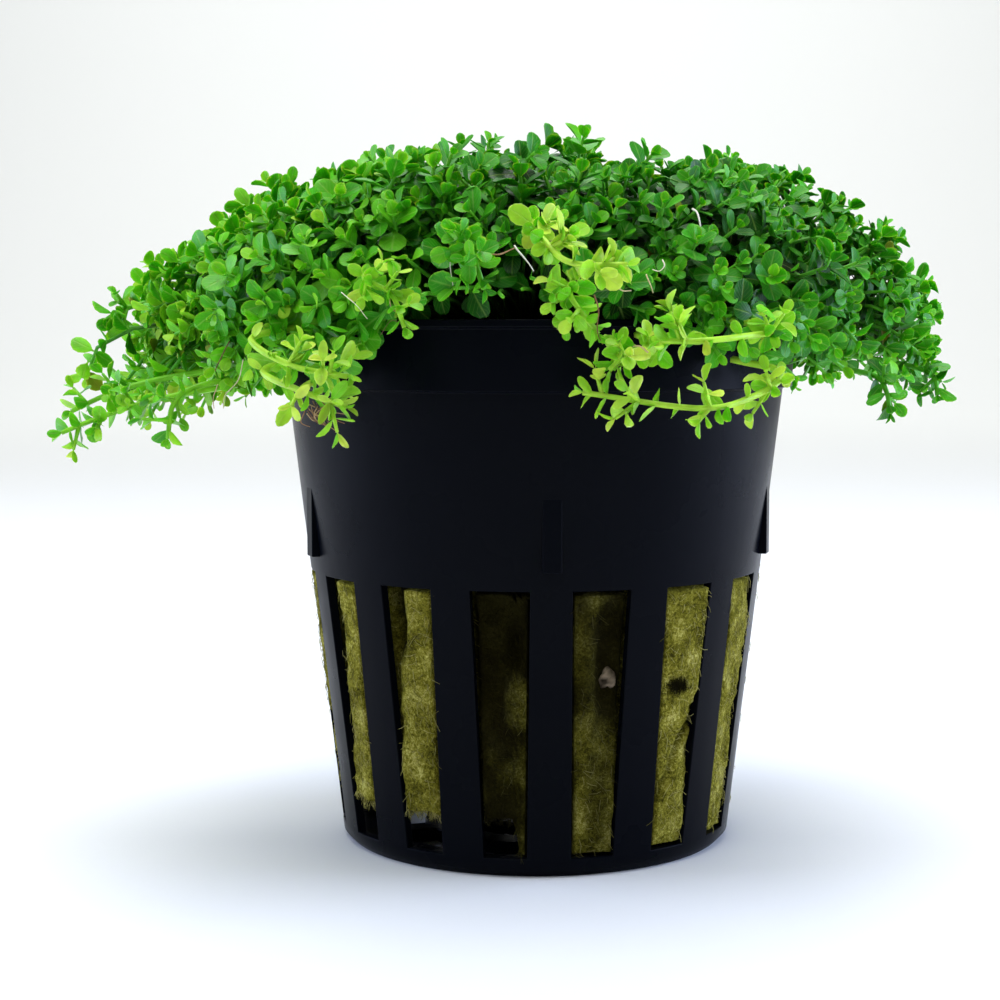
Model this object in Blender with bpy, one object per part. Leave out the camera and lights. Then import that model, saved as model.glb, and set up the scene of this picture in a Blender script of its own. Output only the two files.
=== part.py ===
"""Potted dwarf baby tears: a slotted net pot, its rock wool plug, the leafy clumps and the trailing runners.

Frame: +Z up, the origin on the table under the middle of the pot's floor.
An azimuth runs from the front (-Y) towards +X.
"""

import math

import bpy
import bmesh
from mathutils import Matrix, Vector, noise
from mathutils.bvhtree import BVHTree

MM = 0.001
GAP = 0.35 * MM  # clearance that meshes keep where the real pieces touch

# Net pot
POT_HEIGHT = 55.0 * MM
BASE_RADIUS = 19.9 * MM
WALL_FOOT_RADIUS = 20.65 * MM  # the wall's outer radius, carried down to the table
WALL_FLARE = 0.118  # growth of the wall's radius for each unit of height
WALL_FOOT_Z = 0.9 * MM
WALL = 0.95 * MM
FLOOR = 1.4 * MM
COLLAR_Z = 48.2 * MM
COLLAR_RADIUS = 27.5 * MM
COLLAR_DRAFT = 0.2 * MM
LIP_RADIUS = 27.8 * MM
LIP_HEIGHT = 0.9 * MM
POT_SEGMENTS = 45

# Slots in the wall
SLOT_COUNT = 15
SLOT_PHASE = math.radians(-8.3)
SLOT_TOP_Z = 28.9 * MM
SLOT_FOOT_Z = 2.0 * MM
SLOT_TOP_WIDTH = 5.9 * MM
SLOT_FOOT_WIDTH = 4.3 * MM

# Stacking lugs above every third rib
LUG_COUNT = 5
LUG_PHASE = SLOT_PHASE + math.radians(12)
LUG_WIDTH = 1.9 * MM
LUG_TOP_Z = 38.0 * MM
LUG_FOOT_Z = 30.8 * MM

# Floor openings: two rings of five, between spokes under the lugs
SPOKE_WIDTH = 2.8 * MM
OPENING_RINGS = ((4.2 * MM, 8.9 * MM), (12.0 * MM, 16.8 * MM))
ARC_STEPS = 6

# Rock wool plug
PLUG_TOP_Z = 45.0 * MM
PLUG_TORN = 4.2 * MM  # how much of its foot is torn away on the left
PLUG_TORN_FROM_X = -1.0 * MM
PLUG_TORN_OVER = 4.0 * MM
PLUG_SEGMENTS = 22
PLUG_RINGS = 9
PLUG_DENT = 0.9 * MM

# Leafy clumps
CROWN_RADIUS = 14.0 * MM
CROWN_TOP_Z = 73.0 * MM
CROWN_WALL_Z = (58.0 * MM, 66.0 * MM)
CROWN_RINGS = (1.0, 0.72, 0.42, 0.14)  # rings of the crown's top, as shares of its radius
CROWN_ROUNDING = 2.6 * MM  # how far the cushion dips where the crown meets the clumps round it
SHOULDER_Z = 54.5 * MM
CLUMP_COUNT = 8
CLUMP_PARTING = 0.5 * MM  # half of the cleft between neighbouring clumps
CLUMP_STEPS = 8
DOME_STEPS = 6
TUFT_SIZE = 8.5 * MM
TUFT_HEIGHT = 2.0 * MM
SHOOT_HEIGHT = (0.5 * MM, 3.6 * MM)  # how far the shoots stand out of a clump's leafy side, least and most
SHOOT_STRAY = 1.7 * MM
SHOOT_TURN = math.radians(1.4)
LOBE_DEPTH = 0.10  # how much a clump's reach falls off towards its sides
SKIRT_TOP_Z = 51.0 * MM
SKIRT_THICKNESS = 6.0 * MM
DOME_FULLNESS = (3.2, 0.7)  # exponents of the dome: higher and lower give it fuller shoulders
# Each clump's name, its reach from the pot's axis and the height of its hanging edge, in order of azimuth
CLUMPS = (
    ("clump_front", 30.8 * MM, 60.0 * MM),
    ("clump_front_right", 35.0 * MM, 49.0 * MM),
    ("clump_right", 42.6 * MM, 47.5 * MM),
    ("clump_back_right", 41.5 * MM, 47.0 * MM),
    ("clump_back", 39.5 * MM, 48.0 * MM),
    ("clump_back_left", 42.0 * MM, 46.0 * MM),
    ("clump_left", 45.0 * MM, 44.0 * MM),
    ("clump_front_left", 36.5 * MM, 48.5 * MM),
)

# Runners: a stem with pairs of leaves, each turned a quarter from the last
STEM_RADIUS = 0.42 * MM
STEM_SIDES = 5
STEM_STEP = 3.2 * MM
LEAF_LENGTH = 3.4 * MM
LEAF_WIDTH = 2.6 * MM
LEAF_THICKNESS = 0.5 * MM
LEAF_LIFT = 0.55  # how far a leaf leans towards its stem's tip, as a share of its length
LEAF_ROOT = 0.25  # how far from the stem's axis a leaf starts, as a share of the stem's radius
LEAF_CLEARANCE = 0.45 * MM
RAY = Vector((0.13, -0.27, 0.95)).normalized()  # no face or edge of the model runs along it
RAY_STEP = 0.002 * MM
LEAF_TWISTS = (0, 25, -25, 50, -50)  # degrees that a leaf may turn to find room
FIRST_LEAF = 2.4 * MM
# Each runner's name, the points that its stem passes (x, y, z) in millimetres, and the size of its leaves
RUNNERS = (
    ("runner_left_long", ((-36.5, -17, 47.4), (-40.5, -18, 46.3), (-44, -18.6, 45), (-46.4, -19, 44)), 0.75),
    ("runner_left_mid", ((-38.5, -12, 49), (-43, -13.4, 47.6), (-46.6, -14, 45.9)), 0.75),
    ("runner_left_hanging", ((-33, -20.5, 48.5), (-34.9, -22, 46.8), (-35.4, -22.4, 43.6)), 0.75),
    ("runner_left_upper", ((-41.5, -4, 57), (-44.6, -4.8, 56.2), (-46.8, -5.2, 55)), 0.75),
    ("runner_front_left", ((-26.5, -27.5, 53.2), (-22.4, -31.4, 50.8), (-17, -33.8, 49.8)), 0.9),
    ("runner_front_left_low", ((-25.5, -27, 50.2), (-21.4, -31.2, 48.4), (-17.2, -32.6, 47)), 0.9),
    ("runner_front_drop", ((-15.6, -31.5, 58.8), (-13, -33.6, 57.2), (-11.8, -34, 54.2)), 0.75),
    ("runner_front_middle", ((-6.4, -30.5, 62.6), (-5.6, -33.2, 60.6), (-4.6, -33.8, 57.6)), 0.85),
    ("runner_front_arch", ((-0.4, -30, 64.6), (0.8, -36, 62.2), (3.2, -38.8, 60), (8, -39.8, 59.6)), 0.95),
    ("runner_front_hanging", ((3.4, -32.5, 58.4), (3.2, -36, 56.8), (5.6, -36.2, 53.6)), 0.75),
    ("runner_front_right_high", ((22, -28.5, 54), (18.6, -34.4, 53.4), (14.4, -37, 53), (11, -37.4, 53)), 0.95),
    ("runner_front_right_mid", ((11.6, -31.4, 52.4), (8.4, -35, 52), (6.6, -35.6, 50.4)), 0.9),
    ("runner_front_right_low", ((23, -27.5, 50), (20, -32, 48), (14.6, -35.6, 47), (4.2, -35.4, 48.4)), 0.95),
    ("runner_right_hanging", ((33.8, -13, 49.6), (34.8, -15.5, 48.2), (35.2, -16.2, 45.8)), 0.75),
    ("runner_right_tip", ((38.5, -7, 50.5), (40.8, -9, 49.4), (41.2, -9.4, 47.4)), 0.75),
)


def around(radius, azimuth, z):
    """The point at a radius, an azimuth from the front and a height."""
    return Vector((radius * math.sin(azimuth), -radius * math.cos(azimuth), z))


def wall_radius(z):
    """Outer radius of the pot's wall at a height."""
    return WALL_FOOT_RADIUS + WALL_FLARE * z


def material(name, colour, roughness):
    """A Principled material with one colour (linear red, green, blue) and roughness."""
    made = bpy.data.materials.new(name)
    made.use_nodes = True
    shader = made.node_tree.nodes["Principled BSDF"]
    shader.inputs["Base Color"].default_value = (*colour, 1.0)
    shader.inputs["Roughness"].default_value = roughness
    shader.inputs["Metallic"].default_value = 0.0
    return made


def add_object(name, mesh, finish=None):
    """Puts a mesh in the scene as a named object."""
    made = bpy.data.objects.new(name, mesh)
    bpy.context.scene.collection.objects.link(made)
    if finish is not None:
        mesh.materials.append(finish)
    return made


def solid_from_loops(name, loops):
    """A closed mesh through a row of loops of equal length, with a flat cap on the first and the last."""
    count = len(loops[0])
    points = [p for loop in loops for p in loop]
    faces = []
    for i in range(len(loops) - 1):
        for j in range(count):
            k = (j + 1) % count
            faces.append((i * count + j, i * count + k, (i + 1) * count + k, (i + 1) * count + j))
    faces.append(tuple(range(count)))
    faces.append(tuple(range((len(loops) - 1) * count, len(loops) * count)))
    mesh = bpy.data.meshes.new(name)
    mesh.from_pydata(points, [], faces)
    face_outwards(mesh)
    return mesh


def face_outwards(mesh):
    """Turns every face of a closed mesh to point out."""
    bm = bmesh.new()
    bm.from_mesh(mesh)
    bmesh.ops.recalc_face_normals(bm, faces=bm.faces)
    bm.to_mesh(mesh)
    bm.free()


def shade_round(mesh, degrees):
    """Smooth shading, with an edge kept sharp where its faces meet at more than this angle."""
    mesh.shade_smooth()
    mesh.set_sharp_from_angle(angle=math.radians(degrees))


def turned_solid(name, profile, segments):
    """Spins a profile of (radius, height) points, from axis to axis, once round the Z axis."""
    bm = bmesh.new()
    verts = [bm.verts.new((0.0, -r, z)) for r, z in profile]
    edges = [bm.edges.new(pair) for pair in zip(verts, verts[1:])]
    bmesh.ops.spin(bm, geom=verts + edges, cent=(0, 0, 0), axis=(0, 0, 1), angle=math.tau, steps=segments)
    bmesh.ops.remove_doubles(bm, verts=bm.verts, dist=0.001 * MM)
    bmesh.ops.recalc_face_normals(bm, faces=bm.faces)
    mesh = bpy.data.meshes.new(name)
    bm.to_mesh(mesh)
    bm.free()
    return mesh


def joined_mesh(name, meshes):
    """One mesh that holds several closed bodies."""
    bm = bmesh.new()
    for mesh in meshes:
        bm.from_mesh(mesh)
    made = bpy.data.meshes.new(name)
    bm.to_mesh(made)
    bm.free()
    return made


def boolean(target, name, mesh, operation):
    """Cuts or joins a guide mesh into the target with an exact Boolean modifier."""
    guide = add_object(name, mesh)
    guide.hide_render = True
    guide.display_type = "WIRE"
    modifier = target.modifiers.new(name, "BOOLEAN")
    modifier.operation = operation
    modifier.solver = "EXACT"
    modifier.object = guide


def wall_block(name, azimuth, foot, top):
    """A block on the wall at an azimuth. foot and top are (height, width, inner radius, outer radius)."""
    turn = Matrix.Rotation(azimuth, 4, "Z")
    loops = []
    for z, width, inner, outer in (foot, top):
        side = width / 2
        corners = ((-side, -inner), (side, -inner), (side, -outer), (-side, -outer))
        loops.append([turn @ Vector((x, y, z)) for x, y in corners])
    return solid_from_loops(name, loops)


def slot_cutter(number):
    """The block that cuts one slot, narrower at its foot."""
    azimuth = SLOT_PHASE + number * math.tau / SLOT_COUNT
    inner, outer = WALL_FOOT_RADIUS - 3 * WALL, LIP_RADIUS + WALL
    foot = (SLOT_FOOT_Z, SLOT_FOOT_WIDTH, inner, outer)
    top = (SLOT_TOP_Z, SLOT_TOP_WIDTH, inner, outer)
    return wall_block("slot", azimuth, foot, top)


def lug(number):
    """One stacking lug: its face is upright, so it stands out most at its foot."""
    azimuth = LUG_PHASE + number * math.tau / LUG_COUNT
    face = wall_radius(LUG_TOP_Z)
    foot = (LUG_FOOT_Z, LUG_WIDTH, wall_radius(LUG_FOOT_Z) - WALL / 2, face)
    top = (LUG_TOP_Z, LUG_WIDTH, wall_radius(LUG_TOP_Z) - WALL / 2, face)
    return wall_block("lug", azimuth, foot, top)


def floor_opening(number, inner, outer):
    """A cutter for one opening in the floor, between two spokes and two radii."""
    middle = LUG_PHASE + (number + 0.5) * math.tau / LUG_COUNT
    outline = []
    for radius, order in ((inner, 1), (outer, -1)):
        half = math.pi / LUG_COUNT - math.asin(SPOKE_WIDTH / 2 / radius)
        for i in range(ARC_STEPS + 1):
            outline.append((radius, middle + order * half * (2 * i / ARC_STEPS - 1)))
    levels = (-FLOOR, 2 * FLOOR)
    return solid_from_loops("opening", [[around(r, a, z) for r, a in outline] for z in levels])


def build_pot(finish):
    """The moulded net pot: a tapered wall with a collar and lip, its slots, lugs and open floor."""
    collar_inner = COLLAR_RADIUS - COLLAR_DRAFT - WALL
    profile = (
        (0.0, 0.0),
        (BASE_RADIUS, 0.0),
        (wall_radius(WALL_FOOT_Z), WALL_FOOT_Z),
        (wall_radius(COLLAR_Z), COLLAR_Z),
        (COLLAR_RADIUS - COLLAR_DRAFT, COLLAR_Z),
        (COLLAR_RADIUS, POT_HEIGHT - LIP_HEIGHT),
        (LIP_RADIUS, POT_HEIGHT - 0.7 * LIP_HEIGHT),
        (LIP_RADIUS, POT_HEIGHT),
        (COLLAR_RADIUS - WALL, POT_HEIGHT),
        (collar_inner, COLLAR_Z + WALL),
        (wall_radius(COLLAR_Z) - WALL, COLLAR_Z),
        (wall_radius(FLOOR) - WALL, FLOOR),
        (0.0, FLOOR),
    )
    pot = add_object("net_pot", turned_solid("net_pot", profile, POT_SEGMENTS), finish)
    lugs = [lug(i) for i in range(LUG_COUNT)]
    slots = [slot_cutter(i) for i in range(SLOT_COUNT)]
    openings = [floor_opening(i, *ring) for ring in OPENING_RINGS for i in range(LUG_COUNT)]
    boolean(pot, "lug_guide", joined_mesh("lugs", lugs), "UNION")
    boolean(pot, "slot_cutter", joined_mesh("slots", slots), "DIFFERENCE")
    boolean(pot, "floor_cutter", joined_mesh("openings", openings), "DIFFERENCE")
    shade_round(pot.data, 35)
    return pot


def plug_foot_z(x):
    """Height of the plug's foot: it stands on the floor on the right and is torn away on the left."""
    share = min(max((PLUG_TORN_FROM_X - x) / PLUG_TORN_OVER, 0.0), 1.0)
    return FLOOR + GAP + PLUG_TORN * share * share * (3 - 2 * share)


def build_plug(finish):
    """The rock wool plug: it fills the pot, with shallow dents all round."""
    loops = []
    for i in range(PLUG_RINGS):
        height = i / (PLUG_RINGS - 1)
        loop = []
        for j in range(PLUG_SEGMENTS):
            azimuth = math.tau * j / PLUG_SEGMENTS
            x = wall_radius(0.0) * math.sin(azimuth)
            z = plug_foot_z(x) * (1 - height) + PLUG_TOP_Z * height
            sampled = noise.noise(around(1.0, azimuth, 0) * 3.1 + Vector((0, 0, z / MM / 5.0)))
            dent = PLUG_DENT * (0.5 + 0.5 * sampled)
            radius = wall_radius(z) - WALL - GAP - max(dent, 0.0)
            loop.append(around(radius, azimuth, z))
        loops.append(loop)
    plug = add_object("rock_wool_plug", solid_from_loops("rock_wool_plug", loops), finish)
    plug.data.shade_smooth()
    return plug


def between(azimuth, values):
    """A smooth value at an azimuth, from values at evenly spaced azimuths that start at the front."""
    place = (azimuth % math.tau) / math.tau * len(values)
    low = int(place) % len(values)
    share = place - int(place)
    share = share * share * (3 - 2 * share)
    return values[low] * (1 - share) + values[(low + 1) % len(values)] * share


def tuft(point):
    """How far the leaf tufts stand out at a point: rounded cells with clefts between them."""
    distances = noise.voronoi(point / TUFT_SIZE, distance_metric="DISTANCE")[0]
    return TUFT_HEIGHT * (0.35 - min(distances[0], 1.0) ** 2)


def dome_height(radius, reach):
    """Height of the cushion's top at a radius, for a clump of that reach."""
    share = min(radius / reach, 1.0)
    flatness, fullness = DOME_FULLNESS
    return SHOULDER_Z + (CROWN_TOP_Z - SHOULDER_Z) * (1 - share**flatness) ** fullness


def wander(point):
    """Three smooth values, mostly from -1 to 1, that depend on nothing but the point."""
    return Vector([1.4 * noise.noise(point + Vector((shift, 0.0, shift))) for shift in (0.0, 31.7, 57.3)])


def strayed(point):
    """A point of a clump's leafy side, moved a little so that the shoots stand in no rows."""
    stray = wander(point / TUFT_SIZE * 3) * SHOOT_STRAY
    stray.z *= min(math.hypot(point.x, point.y) / CLUMPS[2][1], 1.0)
    return point + stray


def clump_section(azimuth, reach, hem):
    """A clump's closed outline at an azimuth: dome, shoulder, hanging skirt, then over the lip into the pot."""
    inner = CROWN_RADIUS + GAP
    outline = []
    for i in range(DOME_STEPS):
        radius = inner + (reach * 0.965 - inner) * math.sin(math.pi / 2 * i / (DOME_STEPS - 1))
        point = around(radius, azimuth, dome_height(radius, reach) - (0.0 if i else CROWN_ROUNDING))
        outward = around(radius / reach, azimuth, 1.0)
        outline.append(point + outward.normalized() * tuft(point))
    shoulder = around(reach, azimuth, (SHOULDER_Z + hem) / 2 + 1.5 * MM)
    outline.append(shoulder + around(1.0, azimuth, 0.0) * tuft(shoulder))
    outline.append(around(reach - 0.08 * SKIRT_THICKNESS, azimuth, hem + 0.6 * MM))
    hem_inner = max(reach - SKIRT_THICKNESS, LIP_RADIUS + 2 * GAP)
    outline.append(around(hem_inner, azimuth, hem))
    outline.append(around(LIP_RADIUS + 2 * GAP, azimuth, max(hem, SKIRT_TOP_Z)))
    above_lip = POT_HEIGHT + GAP
    outline.append(around(LIP_RADIUS + 2 * GAP, azimuth, max(hem, above_lip)))
    outline.append(around(COLLAR_RADIUS - WALL - COLLAR_DRAFT - GAP, azimuth, above_lip))
    outline.append(around(wall_radius(COLLAR_Z) - WALL - 2 * GAP, azimuth, COLLAR_Z))
    outline.append(around(wall_radius(PLUG_TOP_Z) - WALL - 2 * GAP, azimuth, PLUG_TOP_Z + GAP))
    outline.append(around(inner, azimuth, PLUG_TOP_Z + GAP))
    return outline


def raise_shoots(mesh):
    """Raises the middle of every face on a clump's leafy side into a shoot, higher or lower and to one side."""
    bm = bmesh.new()
    bm.from_mesh(mesh)
    leafy = []
    for face in bm.faces:
        centre = face.calc_center_median()
        azimuth = math.atan2(centre.x, -centre.y)
        radius = math.hypot(centre.x, centre.y)
        in_pot = radius < LIP_RADIUS and centre.z < POT_HEIGHT + 2 * GAP
        upward = Vector((0, 0, 1)) if radius < CROWN_RADIUS else around(0.75, azimuth, 0.66)
        if len(face.verts) == 4 and not in_pot and face.normal.dot(upward) > 0.3:
            leafy.append(face)
    tips = bmesh.ops.poke(bm, faces=leafy)["verts"]
    for tip in tips:
        azimuth = math.atan2(tip.co.x, -tip.co.y)
        radius = math.hypot(tip.co.x, tip.co.y)
        stray = wander(tip.co / TUFT_SIZE * 5)
        height = SHOOT_HEIGHT[0] + (SHOOT_HEIGHT[1] - SHOOT_HEIGHT[0]) * min(abs(stray.z) * 2, 1.0)
        out = min(radius / CLUMPS[2][1], 1.0)
        outward = around(out, 0.0, math.sqrt(1 - 0.8 * out * out)).normalized() * height
        highest = CROWN_RADIUS - GAP if radius < CROWN_RADIUS else math.inf
        radius = min(radius - outward.y + stray.x * SHOOT_STRAY, highest)
        azimuth += stray.y * SHOOT_TURN
        tip.co = around(radius, azimuth, tip.co.z + outward.z - stray.x * SHOOT_STRAY * out)
    bm.to_mesh(mesh)
    bm.free()


def build_clump(number, finish):
    """One of the outer clumps: sections swept round its share of the circle, furthest out in its middle."""
    name = CLUMPS[number][0]
    reaches = [reach for _, reach, _ in CLUMPS]
    hems = [hem for _, _, hem in CLUMPS]
    middle = number * math.tau / CLUMP_COUNT
    loops = []
    for i in range(CLUMP_STEPS + 1):
        across = 2 * i / CLUMP_STEPS - 1
        azimuth = middle + across * (math.pi / CLUMP_COUNT)
        lobe = 1 - LOBE_DEPTH * across**4
        reach = between(azimuth, reaches) * lobe
        hem = between(azimuth, hems) + LOBE_DEPTH * across**4 * TUFT_SIZE
        section = clump_section(azimuth, reach, hem)
        if abs(across) == 1:
            sideways = Vector((math.cos(azimuth), math.sin(azimuth), 0.0))
            section = [p - sideways * across * CLUMP_PARTING / 2 for p in section]
        elif i:
            section = [strayed(p) if 0 < k <= DOME_STEPS else p for k, p in enumerate(section)]
        loops.append(section)
    mesh = solid_from_loops(name, loops)
    raise_shoots(mesh)
    return add_object(name, mesh, finish)


def build_crown(finish):
    """The middle clump, a column of leafy shoots with a tufted top."""
    steps = CLUMP_COUNT * 2
    loops = []
    reach = CLUMPS[CLUMP_COUNT // 2][1]
    for z in (PLUG_TOP_Z + GAP, *CROWN_WALL_Z):
        loops.append([around(CROWN_RADIUS, math.tau * j / steps, z) for j in range(steps)])
    for share in CROWN_RINGS:
        radius = CROWN_RADIUS * share
        z = dome_height(radius, reach) - (CROWN_ROUNDING if share == 1 else GAP)
        ring = [around(radius, math.tau * j / steps, z) for j in range(steps)]
        loops.append([point + Vector((0, 0, tuft(point))) for point in ring])
    mesh = solid_from_loops("clump_crown", loops)
    raise_shoots(mesh)
    return add_object("clump_crown", mesh, finish)


def smooth_path(points, spacing):
    """Points a set distance apart along a smooth curve through the given ones."""
    knots = [points[0] * 2 - points[1], *points, points[-1] * 2 - points[-2]]
    fine = []
    for a, b, c, d in zip(knots, knots[1:], knots[2:], knots[3:]):
        for i in range(16):
            t = i / 16
            bend = (a - 2.5 * b + 2 * c - d / 2) * t**2
            fine.append(b + (c - a) * t / 2 + bend + (1.5 * (b - c) + (d - a) / 2) * t**3)
    fine.append(points[-1])
    length = sum((q - p).length for p, q in zip(fine, fine[1:]))
    count = max(3, round(length / spacing))
    found, travelled, wanted = [], 0.0, 0.0
    for p, q in zip(fine, fine[1:]):
        step = (q - p).length
        while len(found) < count and travelled + step >= wanted - 1e-9:
            found.append(p.lerp(q, (wanted - travelled) / step))
            wanted += length / count
        travelled += step
    return [*found, fine[-1]]


def stem_mesh(name, path):
    """A tapering stem along a path of points and directions."""
    loops = []
    for i, (centre, along) in enumerate(path):
        side = along.cross(Vector((0, 0, 1))).normalized()
        up = side.cross(along)
        radius = STEM_RADIUS * (1 - 0.45 * i / (len(path) - 1))
        turns = [math.tau * j / STEM_SIDES for j in range(STEM_SIDES)]
        loops.append([centre + (side * math.cos(t) + up * math.sin(t)) * radius for t in turns])
    return solid_from_loops(name, loops)


def leaf_mesh(base, along, outward, size):
    """One leaf as a thin faceted blade: a point inside the stem, a broad middle and a round tip."""
    axis = (outward + along * LEAF_LIFT).normalized()
    across = axis.cross(along).normalized()
    face = across.cross(axis)
    length, half = LEAF_LENGTH * size, LEAF_WIDTH * size / 2
    outline = [
        base,
        base + axis * length * 0.42 + across * half * 0.92,
        base + axis * length * 0.78 + across * half * 0.86,
        base + axis * length,
        base + axis * length * 0.78 - across * half * 0.86,
        base + axis * length * 0.42 - across * half * 0.92,
    ]
    middle = base + axis * length * 0.6
    points = [*outline, middle + face * LEAF_THICKNESS / 2, middle - face * LEAF_THICKNESS / 2]
    faces = []
    for i in range(6):
        k = (i + 1) % 6
        faces += [(i, k, 6), (k, i, 7)]
    mesh = bpy.data.meshes.new("leaf")
    mesh.from_pydata(points, [], faces)
    face_outwards(mesh)
    return mesh


def surface_tree(objects):
    """A search tree of the evaluated surfaces of several objects."""
    graph = bpy.context.evaluated_depsgraph_get()
    bm = bmesh.new()
    for obj in objects:
        bm.from_mesh(obj.evaluated_get(graph).to_mesh())
    tree = BVHTree.FromBMesh(bm)
    bm.free()
    return tree


def sampled_points(mesh):
    """A mesh's corners, the middles of its edges and the middles of its faces."""
    corners = [v.co for v in mesh.vertices]
    middles = [(corners[a] + corners[b]) / 2 for a, b in (e.vertices for e in mesh.edges)]
    return corners + middles + [f.center for f in mesh.polygons]


def is_inside(tree, point):
    """Whether a point lies in one of the closed surfaces: a ray from it crosses them an odd number of times."""
    crossings = 0
    start = point
    while True:
        hit, _, _, _ = tree.ray_cast(start, RAY)
        if hit is None:
            return crossings % 2 == 1
        crossings += 1
        start = hit + RAY * RAY_STEP


def clear_of(tree, points, least):
    """Whether every point keeps this distance from the surfaces, and lies outside them."""
    if any(tree.find_nearest(p, least)[0] for p in points):
        return False
    return not any(is_inside(tree, p) for p in points)


def set_off(tree, point, least):
    """The place at this distance from the surfaces that lies nearest to the point, found in a few steps."""
    for _ in range(6):
        near = tree.find_nearest(point)[0]
        away = near - point if is_inside(tree, point) else point - near
        point = near + away.normalized() * least * 1.02
    return point


def pushed_clear(tree, point, least):
    """The point, moved out of the surfaces to this distance where it lies nearer."""
    return point if clear_of(tree, [point], least) else set_off(tree, point, least)


def with_directions(centres):
    """Each point of a path with the direction of the path there."""
    ends = [centres[0], *centres, centres[-1]]
    return [(c, (b - a).normalized()) for a, c, b in zip(ends, centres, ends[2:])]


def runner_path(tree, route, size):
    """Where a runner's stem passes: from the surface that it grows from, clear of all it passes."""
    least = 2 * STEM_RADIUS + GAP
    points = [Vector(p) * MM for p in route]
    points[0] = set_off(tree, points[0], least)
    path = smooth_path(points, STEM_STEP * size)
    return with_directions([pushed_clear(tree, point, least) for point in path])


def runner_leaves(tree, path, size):
    """Pairs of leaves along a stem, each turned a quarter from the last, each where it finds room."""
    leaves = []
    travelled = 0.0
    for i, (centre, along) in enumerate(path):
        if i:
            travelled += (centre - path[i - 1][0]).length
        if travelled < FIRST_LEAF and i < len(path) - 2:
            continue
        side = along.cross(Vector((0, 0, 1))).normalized()
        up = side.cross(along)
        share = size * (0.8 if i == len(path) - 1 else 1.0)
        for half in (0, 1):
            for twist in LEAF_TWISTS:
                turn = math.pi * half + math.pi / 2 * (i % 2) + math.pi / 4 + math.radians(twist)
                outward = side * math.cos(turn) + up * math.sin(turn)
                root = centre + (outward - along) * STEM_RADIUS * LEAF_ROOT
                leaf = leaf_mesh(root, along, outward, share)
                if clear_of(tree, sampled_points(leaf), LEAF_CLEARANCE):
                    leaves.append(leaf)
                    break
    return leaves


def build_runners(standing, finish):
    """The runners: all the stems first, then the leaves of each where its neighbours leave room."""
    stems = []
    for name, route, size in RUNNERS:
        path = runner_path(surface_tree(standing + [stem for stem, _, _ in stems]), route, size)
        stems.append((add_object(name, stem_mesh(name, path), finish), path, size))
    for stem, path, size in stems:
        others = standing + [other for other, _, _ in stems if other != stem]
        leaves = runner_leaves(surface_tree(others), path, size)
        guide = stem.name + "_leaves"
        boolean(stem, guide, joined_mesh(guide, leaves), "UNION")
        bpy.context.view_layer.update()


def main():
    """Clears the scene and builds the pot, the plug, the clumps and the runners."""
    for old in list(bpy.data.objects):
        bpy.data.objects.remove(old)
    plastic = material("black_polypropylene", (0.012, 0.014, 0.02), 0.35)
    wool = material("rock_wool", (0.27, 0.26, 0.07), 0.95)
    leaf = material("leaf", (0.04, 0.26, 0.02), 0.45)
    shoot = material("young_shoot", (0.2, 0.5, 0.05), 0.45)
    standing = [build_pot(plastic), build_plug(wool), build_crown(leaf)]
    standing += [build_clump(i, leaf) for i in range(CLUMP_COUNT)]
    build_runners(standing, shoot)


main()
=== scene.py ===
"""The potted dwarf baby tears as it looks: leaves, stems, root threads, the plug and the moulded net pot.

Frame: metres, +Z up, the origin on the floor under the pot's middle. An azimuth runs from the front (-Y)
towards +X.
"""

import math

import bpy
import numpy as np
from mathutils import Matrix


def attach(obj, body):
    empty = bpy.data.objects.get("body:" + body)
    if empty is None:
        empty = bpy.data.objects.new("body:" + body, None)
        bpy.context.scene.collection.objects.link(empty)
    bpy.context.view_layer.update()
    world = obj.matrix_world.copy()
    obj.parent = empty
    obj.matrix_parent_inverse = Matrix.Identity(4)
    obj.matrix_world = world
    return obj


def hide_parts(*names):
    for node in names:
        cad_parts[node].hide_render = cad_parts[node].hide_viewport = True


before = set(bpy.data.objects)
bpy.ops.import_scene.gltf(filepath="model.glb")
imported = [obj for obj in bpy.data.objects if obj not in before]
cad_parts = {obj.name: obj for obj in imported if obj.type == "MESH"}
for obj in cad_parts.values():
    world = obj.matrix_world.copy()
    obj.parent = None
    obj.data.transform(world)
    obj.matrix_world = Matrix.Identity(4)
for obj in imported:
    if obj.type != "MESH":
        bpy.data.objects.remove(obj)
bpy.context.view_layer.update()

MM = 0.001

# Camera, fitted to the pot in the photograph
CAMERA_DISTANCE = 214.7 * MM
CAMERA_HEIGHT = 53.1 * MM
CAMERA_PITCH = 0.08
FOCAL_IN_PIXELS = 1999.8
FRAME_PIXELS = 1000.0
AXIS_PIXEL = 535.5

# Net pot
WALL_FOOT_RADIUS = 20.65 * MM
WALL_FLARE = 0.118
WALL = 0.95 * MM
FLOOR = 1.4 * MM
LIP_RADIUS = 27.8 * MM
# Rows of the pot's profile in millimetres: outer radius and height, then inner radius and height
FOOT_ROWS = (
    (16.8, 0.0, 16.8, 1.4), (18.6, 0.0, 18.6, 1.4), (19.9, 0.0, 19.86, 1.4), (20.76, 0.9, 19.9, 1.6),
)
COLLAR_ROWS = (
    (26.32, 48.05, 25.37, 48.05), (26.5, 48.2, 25.5, 48.6), (27.3, 48.2, 26.33, 49.1),
    (27.4, 51.0, 26.43, 51.4), (27.5, 54.1, 26.5, 54.1), (27.8, 54.3, 26.53, 54.4), (27.8, 55.0, 26.6, 55.0),
)
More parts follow.
